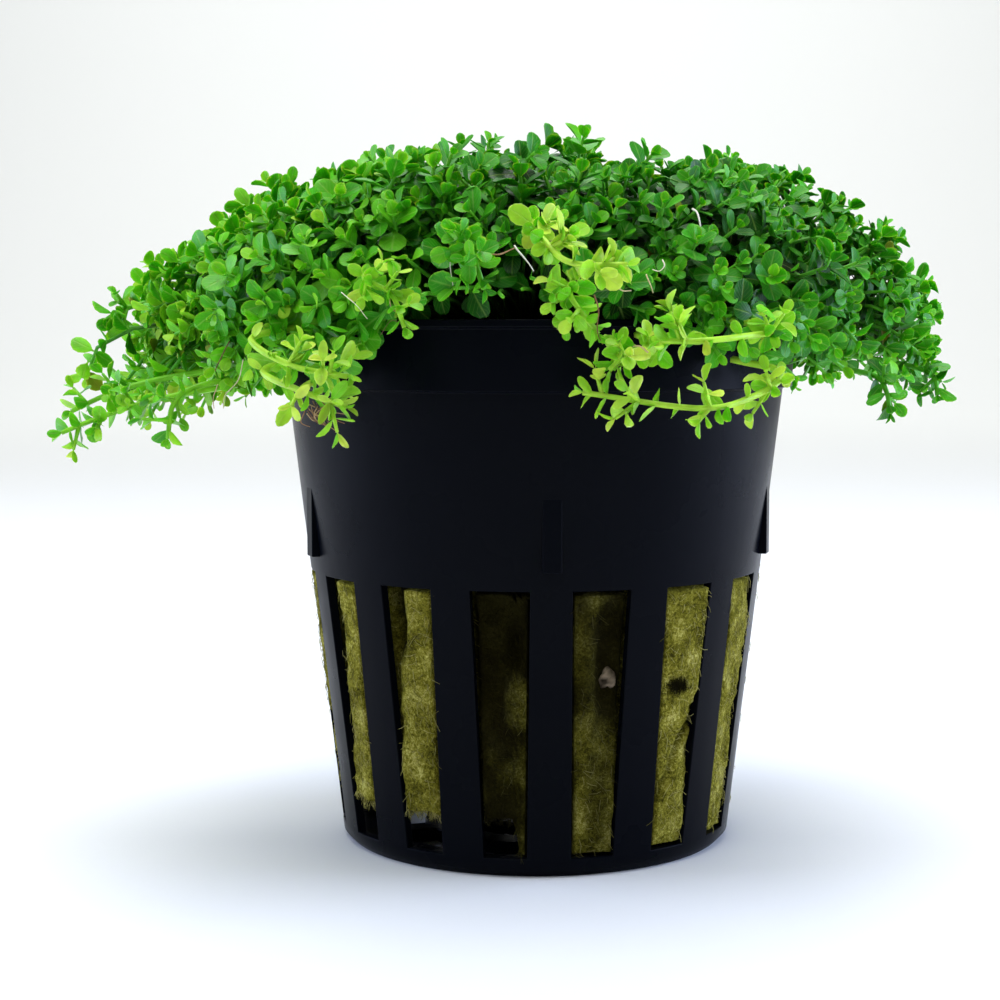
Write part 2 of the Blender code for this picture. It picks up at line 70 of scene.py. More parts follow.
# Heights in millimetres of the wall's rows over its slots
WALL_ROWS = (30.8, 34.4, 38.0, 43.0)
SLOT_ROW_COUNT = 9
SLOT_COUNT = 15
SLOT_PHASE = math.radians(-8.3)
SLOT_FOOT_Z = 2.0 * MM
SLOT_TOP_Z = 28.9 * MM
SLOT_FOOT_WIDTH = 4.3 * MM
SLOT_TOP_WIDTH = 5.9 * MM
LUG_COUNT = 5
LUG_PHASE = SLOT_PHASE + math.radians(12)
LUG_WIDTH = 1.9 * MM
LUG_TOP_Z = 38.0 * MM
LUG_FOOT_Z = 30.8 * MM
SPOKE_WIDTH = 2.8 * MM
HUB_RADIUS = 4.2 * MM
# The floor's rings, in millimetres from the axis, and whether the floor is solid between each two of them
FLOOR_RINGS = (0.3, 2.2, 4.2, 6.5, 8.9, 10.4, 12.0, 14.4, 17.4)
FLOOR_SOLID = (1, 1, 0, 0, 1, 1, 0, 0)
EDGE_ROUNDING = 0.16 * MM

# Rock wool plug
PLUG_TOP_Z = 45.0 * MM
PLUG_GAP = 0.35 * MM
PLUG_DEPTH = 0.95 * MM
# Radius at which the noise of the plug's side is read
PLUG_NOISE_RADIUS = 24.0 * MM
PLUG_SIDES = 23 * SLOT_COUNT
# Rows of the plug's side as shares of its height, close together behind the slots
PLUG_SHARES = np.concatenate([np.linspace(0, 0.64, 84), np.linspace(0.67, 1, 9)])
# How much of the plug's foot is torn away, from which x leftwards, and over what width the tear rises
PLUG_TORN = 4.2 * MM
PLUG_TORN_FROM_X = -1.3 * MM
PLUG_TORN_OVER = 0.9 * MM
# Depth at which a hollow is wholly dark with painted shade, and the wool's swelling into the slots,
# just clear of their edges
HOLLOW_SHADE_DEPTH = 1.5 * MM
SLOT_BULGE = 2.0 * MM
SLOT_BULGE_EDGE = 0.2 * MM
SLOT_CLEARANCE = 0.06 * MM
FIBRE_STATIONS = 3
FIBRE_SIDES = 3
FIBRE_POINTS = FIBRE_STATIONS * FIBRE_SIDES
FIBRE_COUNT = 6900
FRINGE_COUNT = 1000
MOSS_COUNT = 240
# Hollows and lobes in the plug's side: azimuth in degrees, height, half width, half height and depth in mm
WOOL_FORMS = (
    (-37.6, 27.0, 1.5, 4.6, 2.6),
    (-39.0, 20.0, 0.7, 5.5, 1.5),
    (-61.5, 22.0, 0.9, 9.0, 2.0),
    (-9.0, 23.5, 3.4, 7.0, 1.3),
    (-5.2, 23.3, 0.9, 2.0, 1.2),
    (-4.6, 18.3, 1.2, 2.4, -1.5),
    (12.6, 18.0, 0.8, 9.0, -0.6),
    (19.5, 21.5, 1.8, 6.0, 0.8),
    (44.0, 21.5, 3.0, 5.0, -0.5),
    (38.0, 10.0, 1.6, 3.0, -0.5),
)
# A crease in the plug from one place to another, each an azimuth in degrees and a height in millimetres
WOOL_CREASE = ((46.6, 15.9), (34.0, 7.7))
MOSS_PLACE = (38.6, 18.8)
GRIT_PLACE = (19.0, 19.9)
GRIT_SIZE = (0.85 * MM, 0.55 * MM, 1.05 * MM)
GRIT_RINGS = 11
GRIT_SIDES = 18

# Shoots and leaves
SHOOT_SPACING = 2.5 * MM
LEAF_LENGTH = 2.5 * MM
# Places along a leaf, its half width at each as a share of the widest, and its breadth over its length
LEAF_STATIONS = np.array([0.0, 0.10, 0.28, 0.52, 0.76, 0.93, 1.0])
LEAF_WIDTHS = np.array([0.10, 0.16, 0.68, 0.98, 0.96, 0.60, 0.16])
LEAF_BREADTH = 0.73
LEAF_SIDES = 4
LEAF_POINTS = len(LEAF_STATIONS) * LEAF_SIDES
# The six pairs of leaves on a clump's shoot, from its tip down: distance behind the tip in millimetres, size
# as a share of a full leaf, opening angle in degrees, and tint against the clump's own, darker down the
# shoot for older leaves and for painted shade deep in the clump
SHOOT_PAIRS = np.array([
    (0.1, 0.55, 26, 0.15), (0.9, 0.88, 48, 0.06), (2.0, 1.0, 62, -0.02), (3.6, 1.0, 72, -0.13),
    (5.6, 0.95, 80, -0.24), (8.0, 0.95, 84, -0.32),
]).T
# The same of the pairs at a runner's tip and at its rosettes, without the tint
TIP_PAIRS = ((0.1, 0.62, 30), (1.0, 1.0, 50), (2.3, 1.05, 66))
ROSETTE_PAIRS = ((0.2, 0.95, 52), (1.7, 1.05, 70))
# Points laid on a clump to choose its shoots' tips from
SURFACE_SAMPLES = 14000
STEM_SIDES = 5
STEM_STATIONS = 8
RUNNER_STATIONS = 30
SIDE_SHOOT_STATIONS = 4
ROOT_STATIONS = 14
ROOT_SIDES = 4
# The shaded opening over the lip at the front, where few leaves grow: azimuths, top, share of leaves kept
OPENING_AZIMUTHS = (math.radians(-27), math.radians(13))
OPENING_TOP_Z = 61.2 * MM
OPENING_LEAVES = 0.08


def around(radius, azimuth, z):
    """Points at a radius, an azimuth from the front and a height, as an array with x, y, z last."""
    radius, azimuth, z = np.broadcast_arrays(radius, azimuth, z)
    return np.stack([radius * np.sin(azimuth), -radius * np.cos(azimuth), z], axis=-1)


def unit(vectors):
    """The vectors at length one."""
    return vectors / np.maximum(np.linalg.norm(vectors, axis=-1, keepdims=True), 1e-12)


def turned(azimuth):
    """The azimuth from minus half a turn to half a turn."""
    return (azimuth + math.pi) % math.tau - math.pi


def columns_round(phase, count, offsets):
    """Azimuths of a grid's columns: each row's offsets, in a list, from each of count middles."""
    middle = phase + np.arange(count) * math.tau / count
    offsets = np.concatenate(offsets, axis=1)
    return (middle[:, None] + offsets[:, None, :]).reshape(len(offsets), -1)


def wall_radius(z):
    """Outer radius of the pot's wall at a height."""
    return WALL_FOOT_RADIUS + WALL_FLARE * z


def slot_half_width(z):
    """Half the width of a pot's slot at a height."""
    return np.interp(z, [SLOT_FOOT_Z, SLOT_TOP_Z], [SLOT_FOOT_WIDTH / 2, SLOT_TOP_WIDTH / 2])


def linear(code):
    """An sRGB hex colour as linear red, green, blue and alpha."""
    parts = [int(code[i:i + 2], 16) / 255 for i in (1, 3, 5)]
    return tuple(c / 12.92 if c <= 0.04045 else ((c + 0.055) / 1.055) ** 2.4 for c in parts) + (1.0,)


def set_inputs(tree, node, inputs):
    """Fills inputs of a shader node with values, or links them to sockets."""
    for name, value in inputs.items():
        if isinstance(value, bpy.types.NodeSocket):
            tree.links.new(value, node.inputs[name])
        else:
            node.inputs[name].default_value = value


def add_node(tree, kind, inputs=None, **settings):
    """Adds a shader node, with its settings and its inputs."""
    made = tree.nodes.new("ShaderNode" + kind)
    for name, value in settings.items():
        setattr(made, name, value)
    set_inputs(tree, made, inputs or {})
    return made


def attribute(tree, name):
    """A value that the mesh carries at its points."""
    return add_node(tree, "Attribute", attribute_name=name).outputs["Fac"]


def noise(tree, scale, detail, **inputs):
    """Noise fixed to the piece itself, with scale in cells a metre."""
    place = add_node(tree, "TexCoord").outputs["Object"]
    inputs = {"Vector": place, "Scale": scale, "Detail": detail, **inputs}
    return add_node(tree, "TexNoise", inputs).outputs["Fac"]


def remap(tree, value, low, high, to_low, to_high):
    """A value carried evenly from one range to another, and held at its ends."""
    inputs = {"Value": value, "From Min": low, "From Max": high, "To Min": to_low, "To Max": to_high}
    return add_node(tree, "MapRange", inputs).outputs[0]


def work_out(tree, operation, *values):
    """One step of arithmetic on one to three values."""
    return add_node(tree, "Math", dict(enumerate(values)), operation=operation).outputs[0]


def mix_colours(tree, share, first, code):
    """A colour mixed with a share of a hex colour."""
    return add_node(tree, "Mix", {0: share, 6: first, 7: linear(code)}, data_type="RGBA").outputs[2]


def relief(tree, strength, distance, height, **settings):
    """A bump of that depth in metres."""
    inputs = {"Strength": strength, "Distance": distance, "Height": height}
    return add_node(tree, "Bump", inputs, **settings).outputs["Normal"]


def ramp(tree, value, stops):
    """A colour ramp through stops, each a place and a hex colour."""
    made = add_node(tree, "ValToRGB", {"Fac": value})
    elements = made.color_ramp.elements
    while len(elements) < len(stops):
        elements.new(0.5)
    for element, (place, code) in zip(elements, stops):
        element.position = place
        element.color = linear(code)
    return made.outputs["Color"]


def new_material(name):
    """A material with its node tree and its shader."""
    made = bpy.data.materials.new(name)
    made.use_nodes = True
    return made, made.node_tree, made.node_tree.nodes["Principled BSDF"]


def new_object(name, data):
    """An object in the scene."""
    made = bpy.data.objects.new(name, data)
    bpy.context.scene.collection.objects.link(made)
    return made


def add_mesh(name, points, faces, material, uv=None, values=None):
    """Puts arrays in a smooth mesh object.

    faces is a list of index arrays with 3, 4 or more columns, uv is one pair a point, and values are the
    attributes that the material reads.
    """
    mesh = bpy.data.meshes.new(name)
    sizes = np.concatenate([np.full(len(part), part.shape[1]) for part in faces])
    corners = np.concatenate([part.ravel() for part in faces]).astype(np.int32)
    starts = np.concatenate([[0], np.cumsum(sizes)[:-1]]).astype(np.int32)
    mesh.vertices.add(len(points))
    mesh.vertices.foreach_set("co", np.asarray(points, dtype=np.float32).ravel())
    mesh.loops.add(len(corners))
    mesh.loops.foreach_set("vertex_index", corners)
    mesh.polygons.add(len(sizes))
    mesh.polygons.foreach_set("loop_start", starts)
    mesh.polygons.foreach_set("use_smooth", np.ones(len(sizes), bool))
    if uv is not None:
        layer = mesh.uv_layers.new(name="UVMap")
        layer.data.foreach_set("uv", np.asarray(uv, dtype=np.float32)[corners].ravel())
    for key, array in (values or {}).items():
        layer = mesh.attributes.new(key, "FLOAT", "POINT")
        layer.data.foreach_set("value", np.asarray(array, dtype=np.float32))
    mesh.update(calc_edges=True)
    mesh.validate()
    mesh.materials.append(material)
    return new_object(name, mesh)


def tube_faces(copies, rings, sides):
    """Faces of tubes made of rings of points: quads along each, and a flat cap at both ends."""
    start = np.arange(rings - 1)[:, None] * sides
    side = np.arange(sides)[None, :]
    following = (side + 1) % sides
    corners = (start + side, start + following, start + sides + following, start + sides + side)
    quads = np.stack(corners, axis=-1).reshape(-1, 4)
    foot = np.arange(sides)[::-1][None, :]
    top = (rings - 1) * sides + np.arange(sides)[None, :]
    shift = np.arange(copies)[:, None, None] * rings * sides
    caps = np.concatenate([foot, top])
    return [(quads[None] + shift).reshape(-1, 4), (caps[None] + shift).reshape(-1, sides)]


def noise_field(points, size, seed):
    """Smooth noise from -1 to 1: random values on a repeating grid of cells of that size, eased between."""
    table = np.random.default_rng(seed).uniform(-1, 1, (32, 32, 32))
    place = np.asarray(points) / size
    low = np.floor(place).astype(int)
    part = place - low
    part = part * part * (3 - 2 * part)
    total = 0.0
    for step in np.ndindex(2, 2, 2):
        weight = np.prod(np.where(step, part, 1 - part), axis=-1)
        corner = np.moveaxis((low + step) % len(table), -1, 0)
        total = total + weight * table[tuple(corner)]
    return total


def leaf_material():
    """Living leaf: waxy skin over green tissue.

    It gives soft highlights, a pale midrib with side veins, and tints that change from leaf to leaf.
    """
    made, tree, shader = new_material("living_leaf")
    tissue = ramp(tree, attribute(tree, "tint"), (
        (0.0, "#031c01"), (0.12, "#0b4202"), (0.3, "#1f7a05"), (0.5, "#40a60c"), (0.68, "#68c216"),
        (0.85, "#9ed92c"), (1.0, "#cce64e"),
    ))
    uv = add_node(tree, "UVMap", uv_map="UVMap")
    split = add_node(tree, "SeparateXYZ", {"Vector": uv.outputs["UV"]})
    off_middle = work_out(tree, "ABSOLUTE", work_out(tree, "SUBTRACT", split.outputs["X"], 0.5))
    midrib = remap(tree, off_middle, 0.0, 0.07, 1.0, 0.0)
    slanted = work_out(tree, "MULTIPLY_ADD", off_middle, -0.9, split.outputs["Y"])
    wave = work_out(tree, "SINE", work_out(tree, "MULTIPLY", slanted, 38.0))
    side_veins = remap(tree, wave, 0.7, 1.0, 0.0, 0.35)
    veins = work_out(tree, "MAXIMUM", midrib, side_veins)
    veined = mix_colours(tree, work_out(tree, "MULTIPLY", veins, 0.26), tissue, "#b9dc6a")
    shade = remap(tree, noise(tree, 700.0, 3.0), 0.3, 0.7, 0.78, 1.15)
    dappled = add_node(tree, "VectorMath", {0: veined, "Scale": shade}, operation="SCALE").outputs[0]
    set_inputs(tree, shader, {
        "Base Color": mix_colours(tree, attribute(tree, "dry"), dappled, "#8a6a24"),
        "Normal": relief(tree, 0.35, 0.08 * MM, veins, invert=True),
        "Roughness": 0.4, "IOR": 1.42, "Specular IOR Level": 0.28,
        "Subsurface Weight": 0.3, "Subsurface Radius": (0.5, 1.0, 0.2), "Subsurface Scale": 0.3 * MM,
    })
    return made


def polypropylene():
    """Injection moulded polypropylene, black.

    It gives a satin, faintly cool sheen, slightly uneven from the mould.
    """
    made, tree, shader = new_material("black_moulded_polypropylene")
    set_inputs(tree, shader, {
        "Base Color": linear("#05070d"),
        "Normal": relief(tree, 0.15, 0.05 * MM, noise(tree, 900.0, 2.0)),
        "Roughness": remap(tree, noise(tree, 90.0, 4.0), 0.3, 0.7, 0.2, 0.38),
        "IOR": 1.49, "Specular IOR Level": 0.035,
    })
    return made


def rock_wool():
    """Rock wool, spun mineral fibre: matt and olive from algae.

    It gives a felted grain, with paler fibres, a buff grain of grit, and dark patches that are partly
    wet stain and partly painted shade.
    """
    made, tree, shader = new_material("algae_stained_rock_wool")
    cloud = noise(tree, 380.0, 3.0)
    grain = noise(tree, 3400.0, 4.0, Roughness=0.75, Distortion=0.8)
    mottle = add_node(tree, "Mix", {0: 0.62, 2: cloud, 3: grain}, data_type="FLOAT").outputs[0]
    felt = ramp(tree, mottle, ((0.36, "#262303"), (0.45, "#5d5915"), (0.54, "#8a842c"), (0.63, "#c2bb66")))
    strands = mix_colours(tree, attribute(tree, "fibre"), felt, "#bfb770")
    with_grit = mix_colours(tree, attribute(tree, "grit"), strands, "#94846e")
    # The wool's stains and its painted shade, darkest in the hollows and at the front
    stain_and_shade_share = remap(tree, attribute(tree, "stain_and_shade"), 0.0, 1.0, 0.0, 0.97)
    tufts = noise(tree, 1700.0, 5.0, Roughness=0.7, Distortion=1.2)
    set_inputs(tree, shader, {
        "Base Color": mix_colours(tree, stain_and_shade_share, with_grit, "#0d0a01"),
        "Normal": relief(tree, 0.9, 0.35 * MM, tufts),
        "Roughness": 0.95, "Specular IOR Level": 0.04,
    })
    return made


def root_material():
    """Fine roots: white when young, brown and woody when old, by the attribute brown."""
    made, tree, shader = new_material("fine_root")
    age = work_out(tree, "MULTIPLY_ADD", noise(tree, 1500.0, 3.0), 0.3, attribute(tree, "brown"))
    stops = ((0.1, "#f0eee0"), (0.45, "#cdb684"), (0.8, "#8a5a2c"), (1.0, "#4a2d15"))
    set_inputs(tree, shader, {"Base Color": ramp(tree, age, stops), "Roughness": 0.55})
    return made


ROOT = root_material()
LEAF = leaf_material()
PLASTIC = polypropylene()
WOOL = rock_wool()


def masked_sheet(front, back, kept):
    """A closed solid from two grids of points, round in their second direction, where kept is true.

    Each kept cell gives a face on both grids, and an edge between a kept cell and a missing one gets a face
    across.
    """
    rows, columns = front.shape[:2]
    number = np.arange(rows * columns).reshape(rows, columns)
    beside = np.roll(number, -1, axis=1)
    a, b, c, d = number[:-1], beside[:-1], beside[1:], number[1:]
    shift = rows * columns
    front_faces = np.stack([a, b, c, d], axis=-1)[kept]
    back_faces = np.stack([a, d, c, b], axis=-1)[kept] + shift
    below = np.vstack([np.zeros((1, columns), bool), kept[:-1]])
    above = np.vstack([kept[1:], np.zeros((1, columns), bool)])
    before, after = np.roll(kept, 1, axis=1), np.roll(kept, -1, axis=1)
    walls = []
    for open_side, start, end in ((~below, a, b), (~after, b, c), (~above, c, d), (~before, d, a)):
        edge = kept & open_side
        walls.append(np.stack([end, start, start + shift, end + shift], axis=-1)[edge])
    faces = np.concatenate([front_faces, back_faces, *walls])
    points = np.concatenate([front.reshape(-1, 3), back.reshape(-1, 3)])
    used = np.unique(faces)
    renumber = np.zeros(len(points), int)
    renumber[used] = np.arange(len(used))
    return points[used], renumber[faces]


def pot_wall():
    """The pot's wall and its floor's rim: a profile of outer and inner points turned round the axis.

    Six columns to each slot's share of the circle: four follow the slot's slanting edges, two the rib.
    """
    z = np.concatenate([np.linspace(SLOT_FOOT_Z, SLOT_TOP_Z, SLOT_ROW_COUNT), np.array(WALL_ROWS) * MM])
    wall = np.stack([wall_radius(z), z, wall_radius(z) - WALL, z], axis=1)
    profile = np.concatenate([np.array(FOOT_ROWS) * MM, wall, np.array(COLLAR_ROWS) * MM])
    height = np.clip(profile[:, 1], SLOT_FOOT_Z, SLOT_TOP_Z)
    half = np.arcsin(slot_half_width(height) / wall_radius(height))[:, None]
    rib = math.tau / SLOT_COUNT - 2 * half
    offsets = [-half, -half / 3, half / 3, half, half + rib / 3, half + rib * 2 / 3]
    azimuth = columns_round(SLOT_PHASE, SLOT_COUNT, offsets)
    outer = around(profile[:, 0, None], azimuth, profile[:, 1, None])
    inner = around(profile[:, 2, None], azimuth, profile[:, 3, None])
    kept = np.ones((len(profile) - 1, azimuth.shape[1]), bool)
    nearly = 0.001 * MM
    in_slot = (profile[:-1, 1] >= SLOT_FOOT_Z - nearly) & (profile[1:, 1] <= SLOT_TOP_Z + nearly)
    kept[np.ix_(in_slot, np.arange(azimuth.shape[1]) % 6 < 3)] = False
    return masked_sheet(outer, inner, kept)


def pot_spider():
    """The floor's hub, ring and five spokes: a plate on a polar grid, its openings left out.

    Seven columns to each spoke's share of the circle: three on the spoke, four in the gap after it.
    """
    radii = np.array(FLOOR_RINGS) * MM
    half = np.arcsin(np.minimum(SPOKE_WIDTH / 2 / np.maximum(radii, HUB_RADIUS), 1))[:, None]
    gap = math.tau / LUG_COUNT - 2 * half
    offsets = [-half, 0 * half, half] + [half + gap * step / 5 for step in range(1, 5)]
    azimuth = columns_round(LUG_PHASE, LUG_COUNT, offsets)
    kept = np.array(FLOOR_SOLID, bool)[:, None] | (np.arange(azimuth.shape[1]) % 7 < 2)[None, :]
    top = around(radii[:, None], azimuth, FLOOR)
    foot = around(radii[:, None], azimuth, 0.0)
    return masked_sheet(foot, top, kept)


def lug_blocks():
    """The stacking lugs: upright blocks on the tapering wall, flush at the top and proud at the foot."""
    middle = LUG_PHASE + np.arange(LUG_COUNT) * math.tau / LUG_COUNT
    face = wall_radius(LUG_TOP_Z)
    corners = []
    for z in (LUG_FOOT_Z, LUG_TOP_Z):
        root = wall_radius(z) - WALL / 2
        for radius, side in ((face, -1), (face, 1), (root, 1), (root, -1)):
            corners.append(around(radius, middle + side * LUG_WIDTH / 2 / face, z))
    points = np.stack(corners, axis=1).reshape(-1, 3)
    box = np.array([[0, 3, 2, 1], [4, 5, 6, 7], [0, 1, 5, 4], [1, 2, 6, 5], [2, 3, 7, 6], [3, 0, 4, 7]])
    return points, (box[None] + np.arange(LUG_COUNT)[:, None, None] * 8).reshape(-1, 4)


def make_pot():
    """The moulded net pot, with every moulded edge slightly rounded."""
    points, faces, shift = [], [], 0
    for part_points, part_faces in (pot_wall(), pot_spider(), lug_blocks()):
        points.append(part_points)
        faces.append(part_faces + shift)
        shift += len(part_points)
    piece = add_mesh("moulded_net_pot", np.concatenate(points), faces, PLASTIC)
    rounding = piece.modifiers.new("rounding", "BEVEL")
    rounding.width = EDGE_ROUNDING
    rounding.segments = 2
    rounding.limit_method = "ANGLE"
    rounding.angle_limit = math.radians(38)
    rounding.harden_normals = True
    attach(piece, "root")
    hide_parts("net_pot")


def plug_hollow(azimuth, z):
    """Depth of the hollows in the plug's side: those of WOOL_FORMS, where a lobe is negative, and a crease.

    Each falls off as the exponential of minus a power of the distance over its half width and half height.
    """
    across = turned(azimuth)
    depth = 0.0
    for middle, height, half_width, half_height, deep in WOOL_FORMS:
        x = (across - math.radians(middle)) * wall_radius(z) / (half_width * MM)
        y = (z - height * MM) / (half_height * MM)
        depth = depth + deep * MM * np.exp(-(x**4) - np.abs(y) ** 3)
    (from_azimuth, from_z), (to_azimuth, to_z) = WOOL_CREASE
    share = np.clip((from_z * MM - z) / ((from_z - to_z) * MM), 0, 1)
    off = (across - np.radians(from_azimuth + (to_azimuth - from_azimuth) * share)) * wall_radius(z)
    inside = (z < (from_z + 0.8) * MM) & (z > (to_z - 0.8) * MM)
    return depth + np.where(inside, 0.9 * MM * np.exp(-((off / (0.55 * MM)) ** 2)), 0)


def slot_bulge(azimuth, z):
    """How far the wool swells into a slot: evenly over it, with a steep flank just clear of its edges."""
    step = math.tau / SLOT_COUNT
    off = np.abs((azimuth - SLOT_PHASE + step / 2) % step - step / 2) * wall_radius(z)
    clear = np.minimum(slot_half_width(z) - off, np.minimum(z - SLOT_FOOT_Z, SLOT_TOP_Z - z))
    clear = clear - SLOT_CLEARANCE
    return SLOT_BULGE * np.clip(clear / SLOT_BULGE_EDGE, 0, 1)


def plug_columns():
    """Azimuths of the plug's columns in each row: they follow the slots' edges, close by the flanks.

    Each slot has 15 columns and each rib after it 8, which makes the 23 of PLUG_SIDES.
    """
    z = FLOOR + PLUG_GAP + (PLUG_TOP_Z - FLOOR - PLUG_GAP) * PLUG_SHARES[:, None]
    half = slot_half_width(z) - SLOT_CLEARANCE
    inner = half - SLOT_BULGE_EDGE
    rib = math.tau / SLOT_COUNT * wall_radius(z) - 2 * half
    across = [-half, -(half + inner) / 2]
    across += [inner * share for share in np.linspace(-1, 1, 11)]
    across += [(half + inner) / 2, half]
    across += [half + rib * share for share in np.arange(1, 9) / 9]
    return columns_round(SLOT_PHASE, SLOT_COUNT, [off / wall_radius(z) for off in across])


def plug_radius(azimuth, z):
    """Radius of the plug's side: the pot's inside less a gap, lumps and hollows, swollen in the slots."""
    place = around(PLUG_NOISE_RADIUS, azimuth, z)
    lumps = 0.4 * noise_field(place, 5.5 * MM, 11) + 0.28 * noise_field(place, 2.4 * MM, 12)
    grain = 0.16 * noise_field(place, 1.1 * MM, 13) + 0.1 * noise_field(place, 0.6 * MM, 18)
    depth = np.maximum(PLUG_DEPTH + (lumps + grain) * MM, 0) + plug_hollow(azimuth, z)
    return wall_radius(z) - WALL - PLUG_GAP - np.maximum(depth - slot_bulge(azimuth, z), -WALL - PLUG_GAP)


def patch(place, middle, half_width, power):
    """A soft patch, 1 in its middle: the exponential of minus a power of distance over half width."""
    return np.exp(-(((place - middle) / half_width) ** power))


def plug_stain_and_shade(azimuth, z):
    """How dark the wool is, from 0 to 1: its stains, and painted shade.

    Painted shade makes it dark in its hollows and in two broad patches at the front. It is also dark faintly
    at the left, and under the moss. A strip and a lobe of the broad patches are paler.
    """
    place = around(PLUG_NOISE_RADIUS, azimuth, z)
    across = np.degrees(turned(azimuth))
    mottle = 1 + 0.22 * noise_field(place, 3.5 * MM, 16) + 0.1 * noise_field(place, 1.2 * MM, 17)
    from_foot = np.clip((z - 8 * MM) / (12 * MM), 0, 1)
    left = 0.94 * patch(across, -8.5, 8.5, 6)
    far_left = 0.16 * patch(across, -33.0, 9.0, 4)
    right = (0.68 + 0.24 * from_foot) * patch(across, 15.0, 9.5, 6)
    strip = 0.3 * (1 - from_foot) * patch(across, 12.0, 1.6, 4)
    lobe = 0.17 * patch(across, -4.6, 2.6, 2) * patch(z / MM, 18.0, 2.6, 4)
    broad = (left + far_left + right - strip - lobe) * mottle
    moss = 0.8 * patch(across, MOSS_PLACE[0], 3.0, 4) * patch(z / MM, MOSS_PLACE[1], 0.9, 4)
    # Painted shade by the depth of each hollow, added to the broad patches and the moss
    return np.clip(np.maximum(plug_hollow(azimuth, z), 0) / HOLLOW_SHADE_DEPTH + broad + moss, 0, 1)


def plug_foot_z(x):
    """Height of the plug's foot: it stands on the floor on the right and is torn away on the left."""
    share = np.clip((PLUG_TORN_FROM_X - x) / PLUG_TORN_OVER, 0, 1)
    return FLOOR + PLUG_GAP + PLUG_TORN * share * share * (3 - 2 * share)


def plug_side(azimuth, share):
    """Points on the plug's side at an azimuth, and at a share of the way from its foot to its top."""
    foot = plug_foot_z(wall_radius(0) * np.sin(azimuth))
    ragged = 0.55 * noise_field(around(20 * MM, azimuth, 0), 1.7 * MM, 14) * MM
    foot = foot + np.where(foot > FLOOR + 2 * PLUG_GAP, ragged, 0)
    z = foot + (PLUG_TOP_Z - foot) * share
    return around(plug_radius(azimuth, z), azimuth, z)


def plug_body():
    """The plug's body on a grid round the axis: its foot, its lumpy side and its flat top."""
    azimuth = plug_columns()
    side = plug_side(azimuth, PLUG_SHARES[:, None])
    shares = np.array([0.02, 0.35, 0.7, 0.9])[:, None, None]
    foot = side[0] * shares
    foot[..., 2] = plug_foot_z(foot[..., 0]) + 0.2 * MM
    top = side[-1] * shares[::-1]
    top[..., 2] = PLUG_TOP_Z
    # The foot and the top are at full darkness; the side takes its stains and painted shade
    stain_and_shade = np.ones((len(foot) + len(side) + len(top), PLUG_SIDES))
    stain_and_shade[len(foot):-len(top)] = plug_stain_and_shade(azimuth, side[..., 2])
    return np.concatenate([foot, side, top]).reshape(-1, 3), stain_and_shade.ravel()


def wool_fibres(rng, turn, share, lean, length):
    """Short curved fibres on the plug's side, each an arch from just under the surface and back to it."""
    start = plug_side(turn, share)
    outward = around(1.0, turn, 0.0)
    level = around(1.0, turn + math.pi / 2, 0.0)
    heading = level * np.cos(lean)[:, None] + np.array([0, 0, 1.0]) * np.sin(lean)[:, None]
    steps = np.array([-0.1, 0.5, 1.0])
    arch = np.array([-0.12, 0.12, 0.03]) * MM
    curl = rng.normal(0, 0.22, (len(turn), 1, 1)) * np.cross(heading, outward)[:, None]
    curl = curl * (steps**2)[:, None]
    lift = arch[:, None] * rng.uniform(0.3, 1.5, (len(turn), 1, 1))
    paths = start[:, None] + outward[:, None] * lift
    paths = paths + (heading[:, None] * steps[:, None] + curl) * length[:, None, None]
    paths[..., 2] = np.maximum(paths[..., 2], FLOOR + 0.1 * MM)
    thickness = rng.uniform(0.026, 0.046, len(turn)) * MM
    # Each fibre takes the wool's darkness where it starts: its stains and painted shade alike
    stain_and_shade = np.repeat(plug_stain_and_shade(turn, start[:, 2]), FIBRE_POINTS)
    return tube_arrays(paths, thickness, thickness * 0.6, FIBRE_SIDES), stain_and_shade


def grit_grain():
    """One pale grain of grit: a lumpy ball, squeezed to its size and half sunk in the wool."""
    azimuth, z = math.radians(GRIT_PLACE[0]), GRIT_PLACE[1] * MM
    turn = np.linspace(0, math.tau, GRIT_SIDES, endpoint=False)[None, :]
    rise = np.linspace(-0.98, 0.98, GRIT_RINGS)[:, None] * math.pi / 2
    level = np.cos(rise)
    ball = np.stack(np.broadcast_arrays(level * np.cos(turn), level * np.sin(turn), np.sin(rise)), axis=-1)
    rough = 1 + 0.45 * noise_field(ball, 0.75, 19) + 0.2 * noise_field(ball, 0.3, 21)
    ball = ball * rough[..., None] * np.array(GRIT_SIZE)
    return (ball + around(plug_radius(azimuth, z) + 0.1 * MM, azimuth, z)).reshape(-1, 3)


